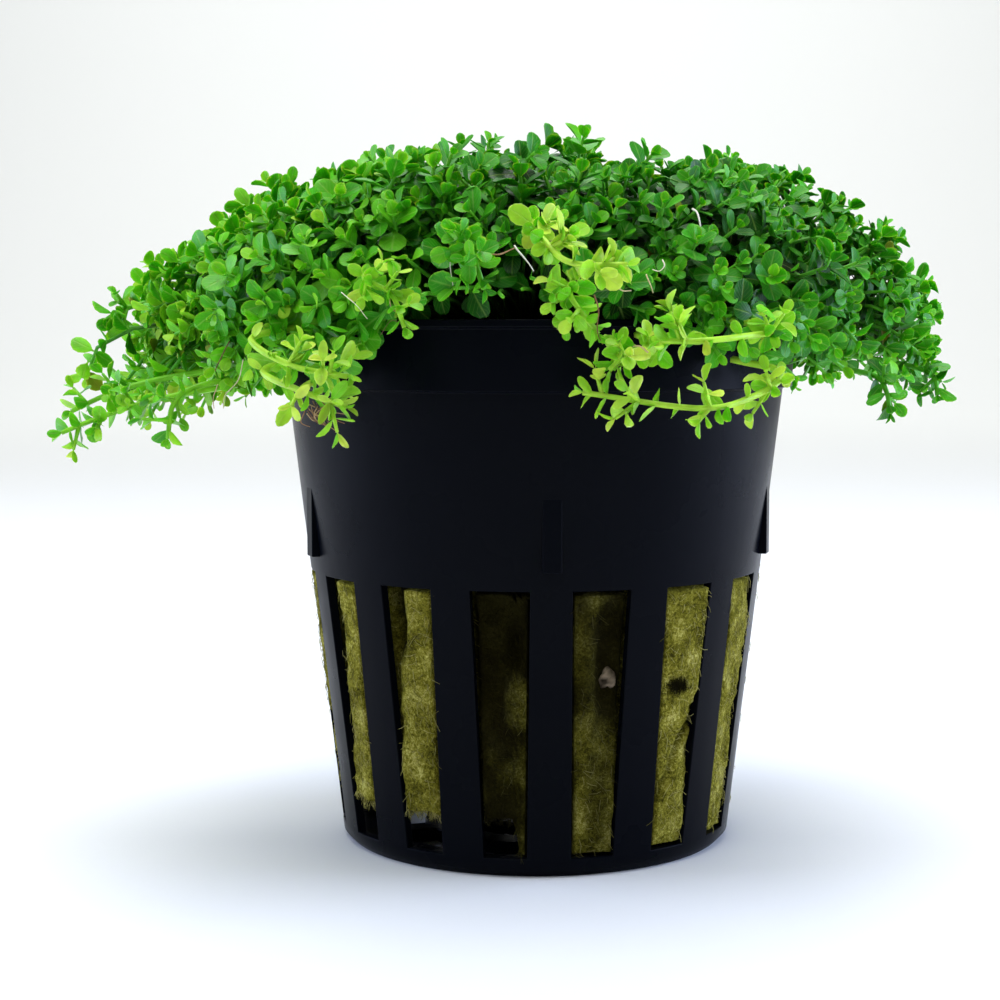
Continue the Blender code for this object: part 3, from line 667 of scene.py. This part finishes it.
def make_plug():
    """The plug: its body, loose fibres on its side, a fringe where it is torn, moss and a grain of grit."""
    rng = np.random.default_rng(31)
    body, stain_and_shade = plug_body()
    side_fibres = wool_fibres(
        rng, rng.uniform(-math.pi, math.pi, FIBRE_COUNT), rng.uniform(0, 0.66, FIBRE_COUNT),
        rng.normal(-1.1, 0.8, FIBRE_COUNT), rng.uniform(0.5, 1.6, FIBRE_COUNT) * MM,
    )
    fringe = wool_fibres(
        rng, rng.uniform(-math.pi, 0, FRINGE_COUNT), np.full(FRINGE_COUNT, 0.003),
        rng.normal(-math.pi / 2, 0.45, FRINGE_COUNT), rng.uniform(0.3, 1.1, FRINGE_COUNT) * MM,
    )
    foot = plug_foot_z(wall_radius(MOSS_PLACE[1] * MM) * math.sin(math.radians(MOSS_PLACE[0])))
    moss_share = (MOSS_PLACE[1] * MM - foot) / (PLUG_TOP_Z - foot)
    moss = wool_fibres(
        rng, np.radians(rng.normal(MOSS_PLACE[0], 1.3, MOSS_COUNT)),
        rng.normal(moss_share, 0.008, MOSS_COUNT), rng.uniform(-math.pi, math.pi, MOSS_COUNT),
        rng.uniform(0.3, 0.9, MOSS_COUNT) * MM,
    )
    grit = grit_grain()
    fibres = np.concatenate([side_fibres[0], fringe[0], moss[0]])
    count = len(fibres) // FIBRE_POINTS
    faces = tube_faces(1, len(body) // PLUG_SIDES, PLUG_SIDES)
    faces += [part + len(body) for part in tube_faces(count, FIBRE_STATIONS, FIBRE_SIDES)]
    faces += [part + len(body) + len(fibres) for part in tube_faces(1, GRIT_RINGS, GRIT_SIDES)]
    tone = np.repeat(rng.uniform(0.1, 0.9, count), FIBRE_POINTS)
    grit_stain = np.clip(0.45 + 1.1 * noise_field(grit, 0.45 * MM, 20), 0, 1)
    piece = add_mesh(
        "fibrous_plug", np.concatenate([body, fibres, grit]), faces, WOOL,
        values={
            "fibre": np.concatenate([np.zeros(len(body)), tone, np.zeros(len(grit))]),
            "grit": np.concatenate([np.zeros(len(body) + len(fibres)), np.ones(len(grit))]),
            # The wool's darkness: its stains, and painted shade from the body's hollows and front patches
            "stain_and_shade": np.concatenate([stain_and_shade, side_fibres[1], fringe[1], np.ones(len(moss[0])), grit_stain]),
        },
    )
    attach(piece, "root")
    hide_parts("rock_wool_plug")


def leaf_arrays(base, axis, normal, length, width, bend, cup):
    """Leaves as closed shells, each ring of points an edge, the midrib, the other edge and the underside.

    Along the leaf, u runs from 0 to 1 and the half width follows LEAF_WIDTHS. The blade falls by bend times
    u squared, and its edges rise over the midrib by cup times the square of the half width.
    """
    across = unit(np.cross(axis, normal))
    directions = (base, axis, across, np.cross(across, axis))
    base, axis, across, facing = (array[:, None, None] for array in directions)
    length, width, bend, cup = (array[:, None, None] for array in (length, width, bend, cup))
    side = np.array([-1.0, 0.0, 1.0, 0.0])
    lift = np.array([0.0, 0.012, 0.0, -0.05])
    u = LEAF_STATIONS[:, None]
    half = LEAF_WIDTHS[:, None] * side
    taper = np.minimum(LEAF_WIDTHS, 0.7)[:, None] / 0.7
    rise = cup * half**2 + lift * taper - bend * u**2
    points = base + axis * (length * u)[..., None] + across * (width / 2 * half)[..., None]
    points = points + facing * (length * rise)[..., None]
    uv = np.stack(np.broadcast_arrays(side * 0.5 + 0.5, u), axis=-1)
    uv = np.broadcast_to(uv, (len(base), *uv.shape))
    return points.reshape(-1, 3), uv.reshape(-1, 2)


def crisp_rims(piece, first):
    """Marks each leaf's outline as sharp, so that its two faces shade apart, as on a thin blade."""
    edges = piece.data.edges
    ends = np.empty(len(edges) * 2, dtype=np.int32)
    edges.foreach_get("vertices", ends)
    ends = ends.reshape(-1, 2)
    corner = (ends - first) % LEAF_SIDES
    rim = (ends.min(axis=1) >= first) & (corner[:, 0] == corner[:, 1]) & (corner[:, 0] % 2 == 0)
    edges.foreach_set("use_edge_sharp", rim)


def tube_arrays(paths, foot_radius, tip_radius, sides):
    """Thin tubes: rings of points square to each path, thinning evenly from foot to tip.

    A radius is one value a tube, or one for all.
    """
    along = unit(np.gradient(paths, axis=1))
    bent = np.cross(along[:, 0], paths[:, -1] - paths[:, 0])
    reach = np.linalg.norm(paths[:, -1] - paths[:, 0], axis=1)[:, None]
    plane = unit(bent + 0.02 * reach * np.array([0.3, 0.5, 0.8]))
    side = unit(np.cross(along, plane[:, None]))
    other = np.cross(along, side)
    turn = np.linspace(0, math.tau, sides, endpoint=False)
    foot_radius, tip_radius = (np.broadcast_to(r, len(paths))[:, None] for r in (foot_radius, tip_radius))
    radius = foot_radius + (tip_radius - foot_radius) * np.linspace(0, 1, paths.shape[1])
    offset = side[:, :, None] * np.cos(turn)[:, None] + other[:, :, None] * np.sin(turn)[:, None]
    return (paths[:, :, None] + offset * radius[:, :, None, None]).reshape(-1, 3)


def curve_points(controls, places):
    """Cubic Bezier points and directions. controls is (count, 4, 3), places is (count, n) from 0 to 1."""
    t = places[..., None]
    a, b, c, d = (controls[:, k, None] for k in range(4))
    points = a * (1 - t) ** 3 + 3 * b * (1 - t) ** 2 * t + 3 * c * (1 - t) * t**2 + d * t**3
    slope = 3 * (b - a) * (1 - t) ** 2 + 6 * (c - b) * (1 - t) * t + 3 * (d - c) * t**2
    return points, unit(slope)


def smooth_route(points, count):
    """A smooth curve through a route: each stretch is a Catmull-Rom cubic of its four nearest points."""
    knots = np.concatenate([[2 * points[0] - points[1]], points, [2 * points[-1] - points[-2]]])
    place = np.linspace(0, len(points) - 1, count)
    low = np.minimum(place.astype(int), len(points) - 2)
    t = (place - low)[:, None]
    a, b, c, d = (knots[low + k] for k in range(4))
    return 0.5 * (2 * b + (c - a) * t + (2 * a - 5 * b + 4 * c - d) * t**2 + (3 * b - a - 3 * c + d) * t**3)


def crossed_leaves(rng, nodes, along, sizes, opening, scale, breadth):
    """Opposite pairs of leaves on stems, each pair turned a quarter from the last.

    nodes and along are (stems, pairs, 3). A leaf leaves its stem at the pair's opening angle, with its upper
    face towards the tip and the sky. scale times the pair's size gives its length, and breadth is its width
    over its length. Gives the leaves' points and UV, in the order stem, pair, side.
    """
    stems, pairs = nodes.shape[:2]
    shape = (stems, pairs, 2)
    level = unit(np.cross(along, rng.normal(0, 1, (stems, 1, 3))))
    other = np.cross(along, level)
    start = np.arange(pairs)[:, None] * math.pi / 2 + np.array([0, math.pi])
    turn = (start + rng.normal(0, 0.18, shape))[..., None]
    sideways = level[:, :, None] * np.cos(turn) + other[:, :, None] * np.sin(turn)
    angle = (opening[:, None] + rng.normal(0, 0.16, shape))[..., None]
    axis = along[:, :, None] * np.cos(angle) + sideways * np.sin(angle)
    normal = along[:, :, None] * np.sin(angle) - sideways * np.cos(angle)
    normal = normal + np.array([0, 0, 0.35]) + rng.normal(0, 0.12, shape + (3,))
    length = LEAF_LENGTH * scale * sizes[:, None] * rng.uniform(0.78, 1.14, shape)
    length = length * rng.uniform(0.85, 1.12, (stems, 1, 1))
    width = length * breadth * rng.uniform(0.85, 1.15, shape)
    bend = rng.uniform(-0.05, 0.28, shape)
    cup = rng.uniform(0.0, 0.2, shape)
    base = np.broadcast_to(nodes[:, :, None], shape + (3,))
    directions = [array.reshape(-1, 3) for array in (base, unit(axis), unit(normal))]
    return leaf_arrays(*directions, *(array.ravel() for array in (length, width, bend, cup)))


def surface_samples(node, rng, count):
    """Random points, with their faces' normals, spread evenly over the surface of a CAD clump."""
    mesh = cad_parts[node].data
    corners = np.empty(len(mesh.vertices) * 3, dtype=np.float32)
    mesh.vertices.foreach_get("co", corners)
    corners = corners.reshape(-1, 3).astype(float)
    mesh.calc_loop_triangles()
    index = np.empty(len(mesh.loop_triangles) * 3, dtype=np.int32)
    mesh.loop_triangles.foreach_get("vertices", index)
    a, b, c = (corners[index.reshape(-1, 3)[:, k]] for k in range(3))
    cross = np.cross(b - a, c - a)
    area = np.linalg.norm(cross, axis=1)
    chosen = rng.choice(len(area), count, p=area / area.sum())
    r, s = rng.random((2, count, 1))
    flip = r + s > 1
    r, s = np.where(flip, 1 - r, r), np.where(flip, 1 - s, s)
    return a[chosen] + r * (b - a)[chosen] + s * (c - a)[chosen], unit(cross[chosen])


def thinned(points, spacing):
    """Which points to keep so that none lies nearer than the spacing to one before it."""
    kept = []
    for i, point in enumerate(points):
        if not kept or np.min(np.sum((points[kept] - point) ** 2, axis=1)) > spacing**2:
            kept.append(i)
    return np.array(kept)


def leafy_tips(node, rng):
    """Tips of a clump's shoots: on its outer side, top and hanging edge, none inside the pot's mouth.

    Gives their points, the surface's normals there, the directions away from the axis and the radii.
    """
    points, normals = surface_samples(node, rng, SURFACE_SAMPLES)
    radius = np.hypot(points[:, 0], points[:, 1])
    outward = points * np.array([1, 1, 0]) / radius[:, None]
    facing = normals @ np.array([0, 0, 1.0]) * 0.7 + np.sum(normals * outward, axis=1) * 0.7
    leafy = (normals[:, 2] > 0.2) if node == "clump_crown" else ((facing > 0.12) | (normals[:, 2] > 0.3))
    leafy &= (radius > LIP_RADIUS) | (points[:, 2] > 62 * MM)
    points, normals, outward, radius = points[leafy], normals[leafy], outward[leafy], radius[leafy]
    kept = thinned(points, SHOOT_SPACING)
    return points[kept], normals[kept], outward[kept], radius[kept]


def foliage_piece(name, node, stems, leaves, stem_tint, leaf_tint, leaf_dry):
    """One piece of stems and leaves.

    stems is a list of points with their faces, and leaves a list of points with their UV. The tints and the
    dryness are one value a leaf, and stem_tint is one value a point or one for all.
    """
    stem_points = np.concatenate([points for points, _ in stems])
    faces, shift = [], 0
    for points, parts in stems:
        faces += [part + shift for part in parts]
        shift += len(points)
    leaf_points = np.concatenate([points for points, _ in leaves])
    leaf_uv = np.concatenate([uv for _, uv in leaves])
    leaf_faces = tube_faces(len(leaf_points) // LEAF_POINTS, len(LEAF_STATIONS), LEAF_SIDES)
    faces += [part + shift for part in leaf_faces]
    tint = np.repeat(np.clip(leaf_tint, 0, 1), LEAF_POINTS)
    tint = np.concatenate([np.broadcast_to(stem_tint, shift), tint])
    dry = np.concatenate([np.zeros(shift), np.repeat(leaf_dry, LEAF_POINTS)])
    piece = add_mesh(
        name, np.concatenate([stem_points, leaf_points]), faces, LEAF,
        uv=np.concatenate([np.full((shift, 2), 0.9), leaf_uv]), values={"tint": tint, "dry": dry},
    )
    crisp_rims(piece, shift)
    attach(piece, "root")
    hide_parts(node)


def even_places(count, stations):
    """The same even places, from 0 to 1, along each of count curves."""
    return np.broadcast_to(np.linspace(0, 1, stations), (count, stations))


def grow_clump(node, seed, brightness, size, dead, depth):
    """The shoots of one clump: stems that arch from the pot's mouth to its surface, with pairs of leaves.

    Each stem is a cubic Bezier curve from its foot, by its rise and its bow, to a tip that lies depth
    millimetres under the surface. The crown has one taller shoot more, TALL_TIP.
    """
    rng = np.random.default_rng(seed)
    tips, normals, outward, radius = leafy_tips(node, rng)
    vigour = np.ones(len(tips))
    if node == "clump_crown":
        tall_place, tall_heading, tall_size = TALL_TIP
        tips, normals = np.vstack([tips, tall_place]), np.vstack([normals, tall_heading])
        outward, radius = np.vstack([outward, (0, -1, 0)]), np.append(radius, math.hypot(*tall_place[:2]))
        vigour = np.append(vigour, tall_size)
    count = len(tips)
    up = np.array([0.0, 0.0, 1.0])
    share = np.clip(radius / (40 * MM), 0, 1.1)[:, None]
    hanging = np.clip((57 * MM - tips[:, 2]) / (10 * MM), 0, 1)[:, None]
    stray = rng.normal(0, 0.26, (count, 3)) / vigour[:, None] ** 3
    heading = unit(normals * 0.6 + outward * (0.1 + 0.4 * share) + up * 0.5 * (1 - hanging) + stray)
    tips = tips - heading * depth * MM
    azimuth = np.arctan2(tips[:, 0], -tips[:, 1])
    foot_radius = np.minimum(radius * 0.45, 20 * MM) * rng.uniform(0.6, 1.0, count)
    foot = around(foot_radius, azimuth + rng.normal(0, 0.12, count), 47 * MM)
    rise = foot + up * rng.uniform(9, 14, (count, 1)) * MM + outward * 2 * MM
    reach = rng.uniform(6, 9, (count, 1)) * MM
    bow = tips - heading * reach + up * hanging * 5 * MM
    bow[:, 2] = np.maximum(bow[:, 2], 58 * MM)
    controls = np.stack([foot, rise, bow, tips], axis=1)
    paths, _ = curve_points(controls, even_places(count, STEM_STATIONS))
    stems = tube_arrays(paths, 0.3 * MM, 0.18 * MM, STEM_SIDES)

    behind, sizes, opening, pair_tint = SHOOT_PAIRS
    span = np.linalg.norm(tips - foot, axis=1)
    places = np.clip(1 - behind * MM / span[:, None] * rng.uniform(0.85, 1.1, (count, 1)), 0.25, 1)
    nodes, along = curve_points(controls, places)
    scale = size * vigour[:, None, None]
    leaves = crossed_leaves(rng, nodes, along, sizes, np.radians(opening), scale, LEAF_BREADTH)
    shape = (count, len(behind), 2)
    tint = brightness + 0.09 * noise_field(tips, 9 * MM, 5)[:, None, None]
    # Lower pairs are darker: older leaves, and painted shade deep in the clump
    tint = tint + pair_tint[:, None] + 0.1 * hanging[:, :, None] + rng.normal(0, 0.07, shape)
    dry = np.where(rng.random(shape) < dead * (1 + 3 * hanging[:, :, None]), 0.7, 0.0)
    turn = np.arctan2(nodes[..., 0], -nodes[..., 1])
    in_opening = (turn > OPENING_AZIMUTHS[0]) & (turn < OPENING_AZIMUTHS[1])
    in_opening &= nodes[..., 2] < OPENING_TOP_Z
    kept = (~in_opening[..., None] | (rng.random(shape) < OPENING_LEAVES)).ravel()
    leaves = [part.reshape(len(kept), LEAF_POINTS, -1)[kept].reshape(-1, part.shape[1]) for part in leaves]
    # Painted shade: each stem darkens towards its foot, deep in the clump
    stem_tint = 0.6 * even_places(count, STEM_STATIONS) ** 2.5
    stems = [(stems, tube_faces(count, STEM_STATIONS, STEM_SIDES))]
    stem_tint = np.repeat(stem_tint, STEM_SIDES)
    name = node.replace("clump", "foliage")
    foliage_piece(name, node, stems, [leaves], stem_tint, tint.ravel()[kept], dry.ravel()[kept])


def grow_runner(node, size, breadth, brightness, rosettes, route, seed):
    """One runner: a stem along its route, leaf pairs crowded at its tip and its rosettes, few between.

    route is in millimetres, and rosettes are shares of the way along it. Each rosette has two short side
    shoots, and the tip has one. breadth is a leaf's width over its length.
    """
    rng = np.random.default_rng(seed)
    points = np.array(route) * MM
    hidden = points[0] * np.array([0.82, 0.82, 1.0]) + np.array([0, 0, 1.2 * MM])
    path = smooth_route(np.concatenate([[hidden], points]), RUNNER_STATIONS)
    slope = np.gradient(path, axis=0)
    travelled = np.concatenate([[0], np.cumsum(np.linalg.norm(np.diff(path, axis=0), axis=1))])
    stem = tube_arrays(path[None], 0.38 * MM * size, 0.26 * MM * size, STEM_SIDES)

    def on_stem(place):
        """Points and directions at distances along the stem."""
        columns = np.concatenate([path, slope], axis=1).T
        found = np.stack([np.interp(place, travelled, column) for column in columns], axis=-1)
        return found[..., :3], unit(found[..., 3:])

    first = np.linalg.norm(points[0] - hidden)
    middles = first + (travelled[-1] - first) * np.array(rosettes)
    pairs = [(travelled[-1] - behind * MM * size, share, angle) for behind, share, angle in TIP_PAIRS]
    for middle in middles:
        pairs += [(middle - behind * MM * size, share, angle) for behind, share, angle in ROSETTE_PAIRS]
    pairs += [(spot, 0.8, 64) for spot in np.arange(first, travelled[-1] - 3 * MM, 3.6 * MM)]
    place, sizes, opening = np.array(pairs).T
    nodes, along = on_stem(place)
    leaves = [crossed_leaves(rng, nodes[None], along[None], sizes, np.radians(opening), size, breadth)]
    tint = [brightness + rng.normal(0, 0.08, len(place) * 2)]

    place = np.append(np.repeat(middles, 2), travelled[-1] - 1.8 * MM)
    count = len(place)
    nodes, along = on_stem(place)
    heading = unit(np.cross(along, rng.normal(0, 1, (count, 3)))) + along * 0.5 + np.array([0, -0.25, 0.45])
    far = nodes + unit(heading) * rng.uniform(1.5, 3.0, (count, 1)) * MM * size
    controls = np.stack([nodes, nodes * 0.7 + far * 0.3, nodes * 0.3 + far * 0.7, far], axis=1)
    shoots, _ = curve_points(controls, even_places(count, SIDE_SHOOT_STATIONS))
    side_stems = tube_arrays(shoots, 0.24 * MM, 0.16 * MM, STEM_SIDES)
    nodes, along = curve_points(controls, np.broadcast_to([1.0, 0.55], (count, 2)))
    pair_sizes, pair_opening = np.array([0.7, 0.95]), np.radians([34, 60])
    leaves.append(crossed_leaves(rng, nodes, along, pair_sizes, pair_opening, size, breadth))
    tint.append(brightness + 0.05 + rng.normal(0, 0.08, count * 4))
    tint = np.concatenate(tint)
    dry = np.where(rng.random(len(tint)) < 0.03, 0.4, 0.0)
    stems = [
        (stem, tube_faces(1, RUNNER_STATIONS, STEM_SIDES)),
        (side_stems, tube_faces(count, SIDE_SHOOT_STATIONS, STEM_SIDES)),
    ]
    name = node.replace("runner", "sprig")
    foliage_piece(name, node, stems, leaves, min(brightness + 0.08, 1.0), tint, dry)


def thread(rng, route, thickness):
    """One root thread: a thin tube along a smooth route in millimetres, with a slight wobble."""
    path = smooth_route(np.array(route) * MM, ROOT_STATIONS)
    wobble = noise_field(path + rng.uniform(0, 0.05, 3), 1.6 * MM, 41)
    path = path + wobble[:, None] * rng.normal(0, 0.16 * MM, 3)
    return tube_arrays(path[None], thickness * MM, thickness * 0.6 * MM, ROOT_SIDES)


def hang_roots():
    """Root threads: the white and brown ones that hang free, and a tuft of finer brown ones."""
    rng = np.random.default_rng(61)
    threads = [thread(rng, route, thickness * 0.75) for route, thickness, _ in ROOT_THREADS]
    browns = [np.full(len(points), brown) for points, (_, _, brown) in zip(threads, ROOT_THREADS)]
    for _ in range(ROOT_TUFT_COUNT):
        start = np.array(ROOT_TUFT_PLACE) + rng.normal(0, 1, 3) * np.array([0.9, 0.4, 0.5])
        droop = start + np.array([rng.normal(0.5, 0.7), 0.3, -rng.uniform(0.5, 1.4)])
        end = droop + np.array([rng.normal(0.3, 0.8), 0.5, -rng.uniform(0.1, 0.9)])
        threads.append(thread(rng, (start, droop, end), 0.06))
        browns.append(np.full(len(threads[-1]), rng.uniform(0.45, 0.8)))
    faces = tube_faces(len(threads), ROOT_STATIONS, ROOT_SIDES)
    values = {"brown": np.concatenate(browns)}
    piece = add_mesh("root_threads", np.concatenate(threads), faces, ROOT, values=values)
    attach(piece, "root")


# Each clump's tint, from 0 for the darkest leaf to 1 for the palest, the size of its leaves, the share of
# them that is dead, and how far its tips lie under its surface, in millimetres
CLUMP_LOOKS = {
    "clump_crown": (0.40, 0.95, 0.003, 2.2), "clump_front": (0.37, 1.15, 0.003, 1.4),
    "clump_front_right": (0.38, 1.0, 0.006, 1.4), "clump_right": (0.34, 0.9, 0.008, 1.1),
    "clump_back_right": (0.37, 0.95, 0.005, 0.9), "clump_back": (0.40, 1.0, 0.005, 1.8),
    "clump_back_left": (0.44, 1.0, 0.005, 2.7), "clump_left": (0.64, 1.0, 0.004, 4.0),
    "clump_front_left": (0.5, 1.15, 0.004, 2.0),
}
# The crown's tallest shoot: its tip, its direction, and its leaves' size as a share of the others'
TALL_TIP = ((5.4 * MM, -13.0 * MM, 75.2 * MM), (0.3, -0.35, 0.9), 1.5)
# Each runner's leaves: their size, breadth and tint, then its rosettes and its route in millimetres
RUNNERS = {
    "runner_left_long": (
        0.9, 0.66, 0.66, (0.3, 0.6),
        ((-36.5, -17, 47.4), (-40.5, -18, 46.3), (-44, -18.6, 45), (-46.4, -19, 44)),
    ),
    "runner_left_mid": (
        0.9, 0.66, 0.62, (0.45,), ((-38.5, -12, 49), (-43, -13.4, 47.6), (-46.6, -14, 45.9)),
    ),
    "runner_left_hanging": (
        0.9, 0.6, 0.64, (0.4,), ((-33, -20.5, 48.5), (-34.9, -22, 46.8), (-35.4, -22.4, 43.6)),
    ),
    "runner_left_upper": (
        0.95, 0.75, 0.58, (0.5,), ((-40.5, -4, 57), (-43.2, -4.8, 56.2), (-44.8, -5.2, 55.2)),
    ),
    "runner_front_left": (
        1.05, 0.42, 0.8, (0.5, 0.8), ((-26.5, -27.5, 53.2), (-22.4, -31.4, 50.8), (-17, -33.8, 49.8)),
    ),
    "runner_front_left_low": (
        1.05, 0.4, 0.82, (0.55, 0.85), ((-25.5, -27, 50.2), (-21.4, -31.2, 48.4), (-17.2, -32.6, 47)),
    ),
    "runner_front_drop": (
        0.85, 0.66, 0.76, (0.12, 0.45), ((-15.6, -31.5, 58.8), (-13, -33.6, 57.2), (-11.8, -34, 54.2)),
    ),
    "runner_front_middle": (
        1.05, 0.7, 0.5, (0.25, 0.6), ((-6.4, -30.5, 62.6), (-5.6, -33.2, 60.6), (-4.6, -33.8, 57.6)),
    ),
    "runner_front_arch": (
        1.0, 0.7, 0.84, (0.2, 0.5, 0.8),
        ((-0.4, -30, 64), (0.8, -36, 61.8), (3.2, -38.8, 59.8), (8, -39.8, 59.6)),
    ),
    "runner_front_hanging": (
        0.85, 0.66, 0.76, (0.35, 0.65), ((3.4, -32.5, 58.4), (3.2, -36, 56.8), (5.6, -36.2, 53.6)),
    ),
    "runner_front_right_high": (
        1.0, 0.56, 0.8, (0.12, 0.85),
        ((22, -28.5, 54), (18.6, -34.4, 53.4), (14.4, -37, 53), (11, -37.4, 53)),
    ),
    "runner_front_right_mid": (
        0.95, 0.6, 0.8, (0.4, 0.75), ((11.6, -31.4, 52.4), (8.4, -35, 52), (6.6, -35.6, 50.4)),
    ),
    "runner_front_right_low": (
        1.0, 0.58, 0.82, (0.16, 0.5, 0.78),
        ((23, -27.5, 50), (20, -32, 48), (14.6, -35.6, 47), (4.2, -35.4, 48.4)),
    ),
    "runner_right_hanging": (
        0.9, 0.66, 0.42, (0.4,), ((33.8, -13, 49.6), (34.8, -15.5, 48.2), (35.2, -16.2, 45.8)),
    ),
    "runner_right_tip": (0.9, 0.66, 0.42, (0.4,), ((38.5, -7, 50.5), (40.8, -9, 49.4), (41.2, -9.4, 47.4))),
}
# Root threads: route and half thickness in millimetres, and how brown, from 0 for white to 1
ROOT_THREADS = (
    (((-17.4, -33.5, 57.5), (-16.2, -34, 56.3), (-15.1, -34, 55)), 0.07, 0.1),
    (((-7.1, -31.5, 61.5), (-7.7, -33, 60.3), (-7.4, -33, 57.8)), 0.1, 0.05),
    (((-1.9, -32.5, 61.6), (-1, -33.5, 60.3), (-0.2, -33.5, 59.2)), 0.12, 0.0),
    (((-4.4, -32, 60.7), (-3.3, -33.5, 60.7), (-1.9, -33, 61.4)), 0.12, 0.6),
    (((-13.1, -34, 57), (-12.8, -34.5, 56.1), (-12.1, -34.5, 55.8)), 0.09, 0.5),
    (((5.1, -38, 57), (5.6, -38, 55.5), (5.5, -37, 54.1), (6, -36, 52.7)), 0.1, 0.7),
    (((-28.1, -22, 51.2), (-28.6, -22, 49.2), (-29.8, -22.5, 47.8), (-30, -22.5, 46.5)), 0.08, 0.2),
    (((-30.5, -23, 48.9), (-30.8, -23.3, 47.7), (-30.7, -23.4, 46.5)), 0.08, 0.4),
    (((-29.4, -22, 52.9), (-30.2, -23.5, 51.1), (-30.5, -24, 50.1)), 0.12, 0.8),
    (((-11.8, -33, 54.3), (-13, -33.5, 54.8), (-14, -33.5, 53.5)), 0.06, 0.8),
    (((14.7, -26, 65.3), (15, -27.5, 64.5), (15.3, -28, 63.6)), 0.16, 0.0),
    (((11.2, -36, 60.2), (11.5, -36.5, 59.6), (10.9, -36.5, 59.2), (10.4, -36, 59.3)), 0.1, 0.1),
    (((10, -35.5, 58.8), (10.3, -36, 58), (10.5, -36, 57.2)), 0.09, 0.3),
    (((7, -38, 58), (7.6, -38.5, 57.4), (8.4, -38, 57.4)), 0.13, 0.3),
    (((9.9, -38, 52), (9.2, -38.5, 52.5), (8.6, -38, 52.5)), 0.12, 0.4),
)
ROOT_TUFT_PLACE = (-20.0, -31.0, 46.9)
ROOT_TUFT_COUNT = 22

make_pot()
make_plug()
for number, (clump, look) in enumerate(CLUMP_LOOKS.items()):
    grow_clump(clump, 100 + number, *look)
for number, (runner, look) in enumerate(RUNNERS.items()):
    grow_runner(runner, *look, 200 + number)
hang_roots()


def light(name, size, power, place, target, shade="#ffffff"):
    """A square soft light of that size in metres, aimed at a point."""
    lamp = bpy.data.lights.new(name, "AREA")
    lamp.size = size
    lamp.energy = power
    lamp.color = linear(shade)[:3]
    made = new_object(name, lamp)
    made.location = place
    aim = np.array(target) - np.array(place)
    pitch = math.atan2(math.hypot(aim[0], aim[1]), -aim[2])
    made.rotation_euler = (pitch, 0.0, math.atan2(-aim[0], aim[1]))


def floor_and_backdrop():
    """A pale floor that rises in a wide curve behind: straight, then a quarter circle, then upright."""
    turn = np.linspace(0, math.pi / 2, 16)
    curve_y = np.concatenate([[-3.0], 1.2 + 0.8 * np.sin(turn), [2.0]])
    curve_z = np.concatenate([[0.0], 0.8 - 0.8 * np.cos(turn), [3.0]])
    y, x = np.meshgrid(curve_y, [-3.0, 3.0], indexing="ij")
    z = np.broadcast_to(curve_z[:, None], x.shape)
    points = np.stack([x, y, z], axis=-1).reshape(-1, 3)
    row = np.arange(len(curve_y) - 1)[:, None] * 2
    paper, tree, shader = new_material("pale_paper")
    set_inputs(tree, shader, {"Base Color": linear("#eceeec"), "Roughness": 0.9})
    floor = add_mesh("pale_floor", points, [row + np.array([[0, 1, 3, 2]])], paper)


def camera():
    """The camera at the photograph's place: in front, a little above the rim, looking slightly down."""
    data = bpy.data.cameras.new("camera")
    data.sensor_width = 36.0
    data.lens = FOCAL_IN_PIXELS * 36.0 / FRAME_PIXELS
    data.shift_x = (FRAME_PIXELS / 2 - AXIS_PIXEL) / FRAME_PIXELS
    data.clip_start = 0.01
    made = new_object("camera", data)
    made.location = (0.0, -CAMERA_DISTANCE, CAMERA_HEIGHT)
    made.rotation_euler = (math.pi / 2 - CAMERA_PITCH, 0.0, 0.0)
    bpy.context.scene.camera = made


floor_and_backdrop()
camera()
light("overhead_softbox", 0.45, 3.0, (0.0, -0.04, 0.6), (0.0, 0.0, 0.05))
light("front_softbox", 0.24, 0.7, (-0.1, -0.42, 0.44), (0.0, 0.0, 0.06))
light("left_softbox", 0.32, 2.0, (-0.42, 0.02, 0.11), (0.0, 0.0, 0.04), "#c8d6ff")
light("right_softbox", 0.32, 3.0, (0.42, 0.03, 0.11), (0.0, 0.0, 0.04), "#c8d6ff")
light("backdrop_light", 1.0, 26.0, (0.0, 1.0, 1.6), (0.0, 1.8, 0.5))
world = bpy.data.worlds.new("studio")
world.use_nodes = True
world.node_tree.nodes["Background"].inputs["Color"].default_value = linear("#c8ccd2")
world.node_tree.nodes["Background"].inputs["Strength"].default_value = 0.12
bpy.context.scene.world = world
bpy.context.scene.view_settings.view_transform = "Standard"
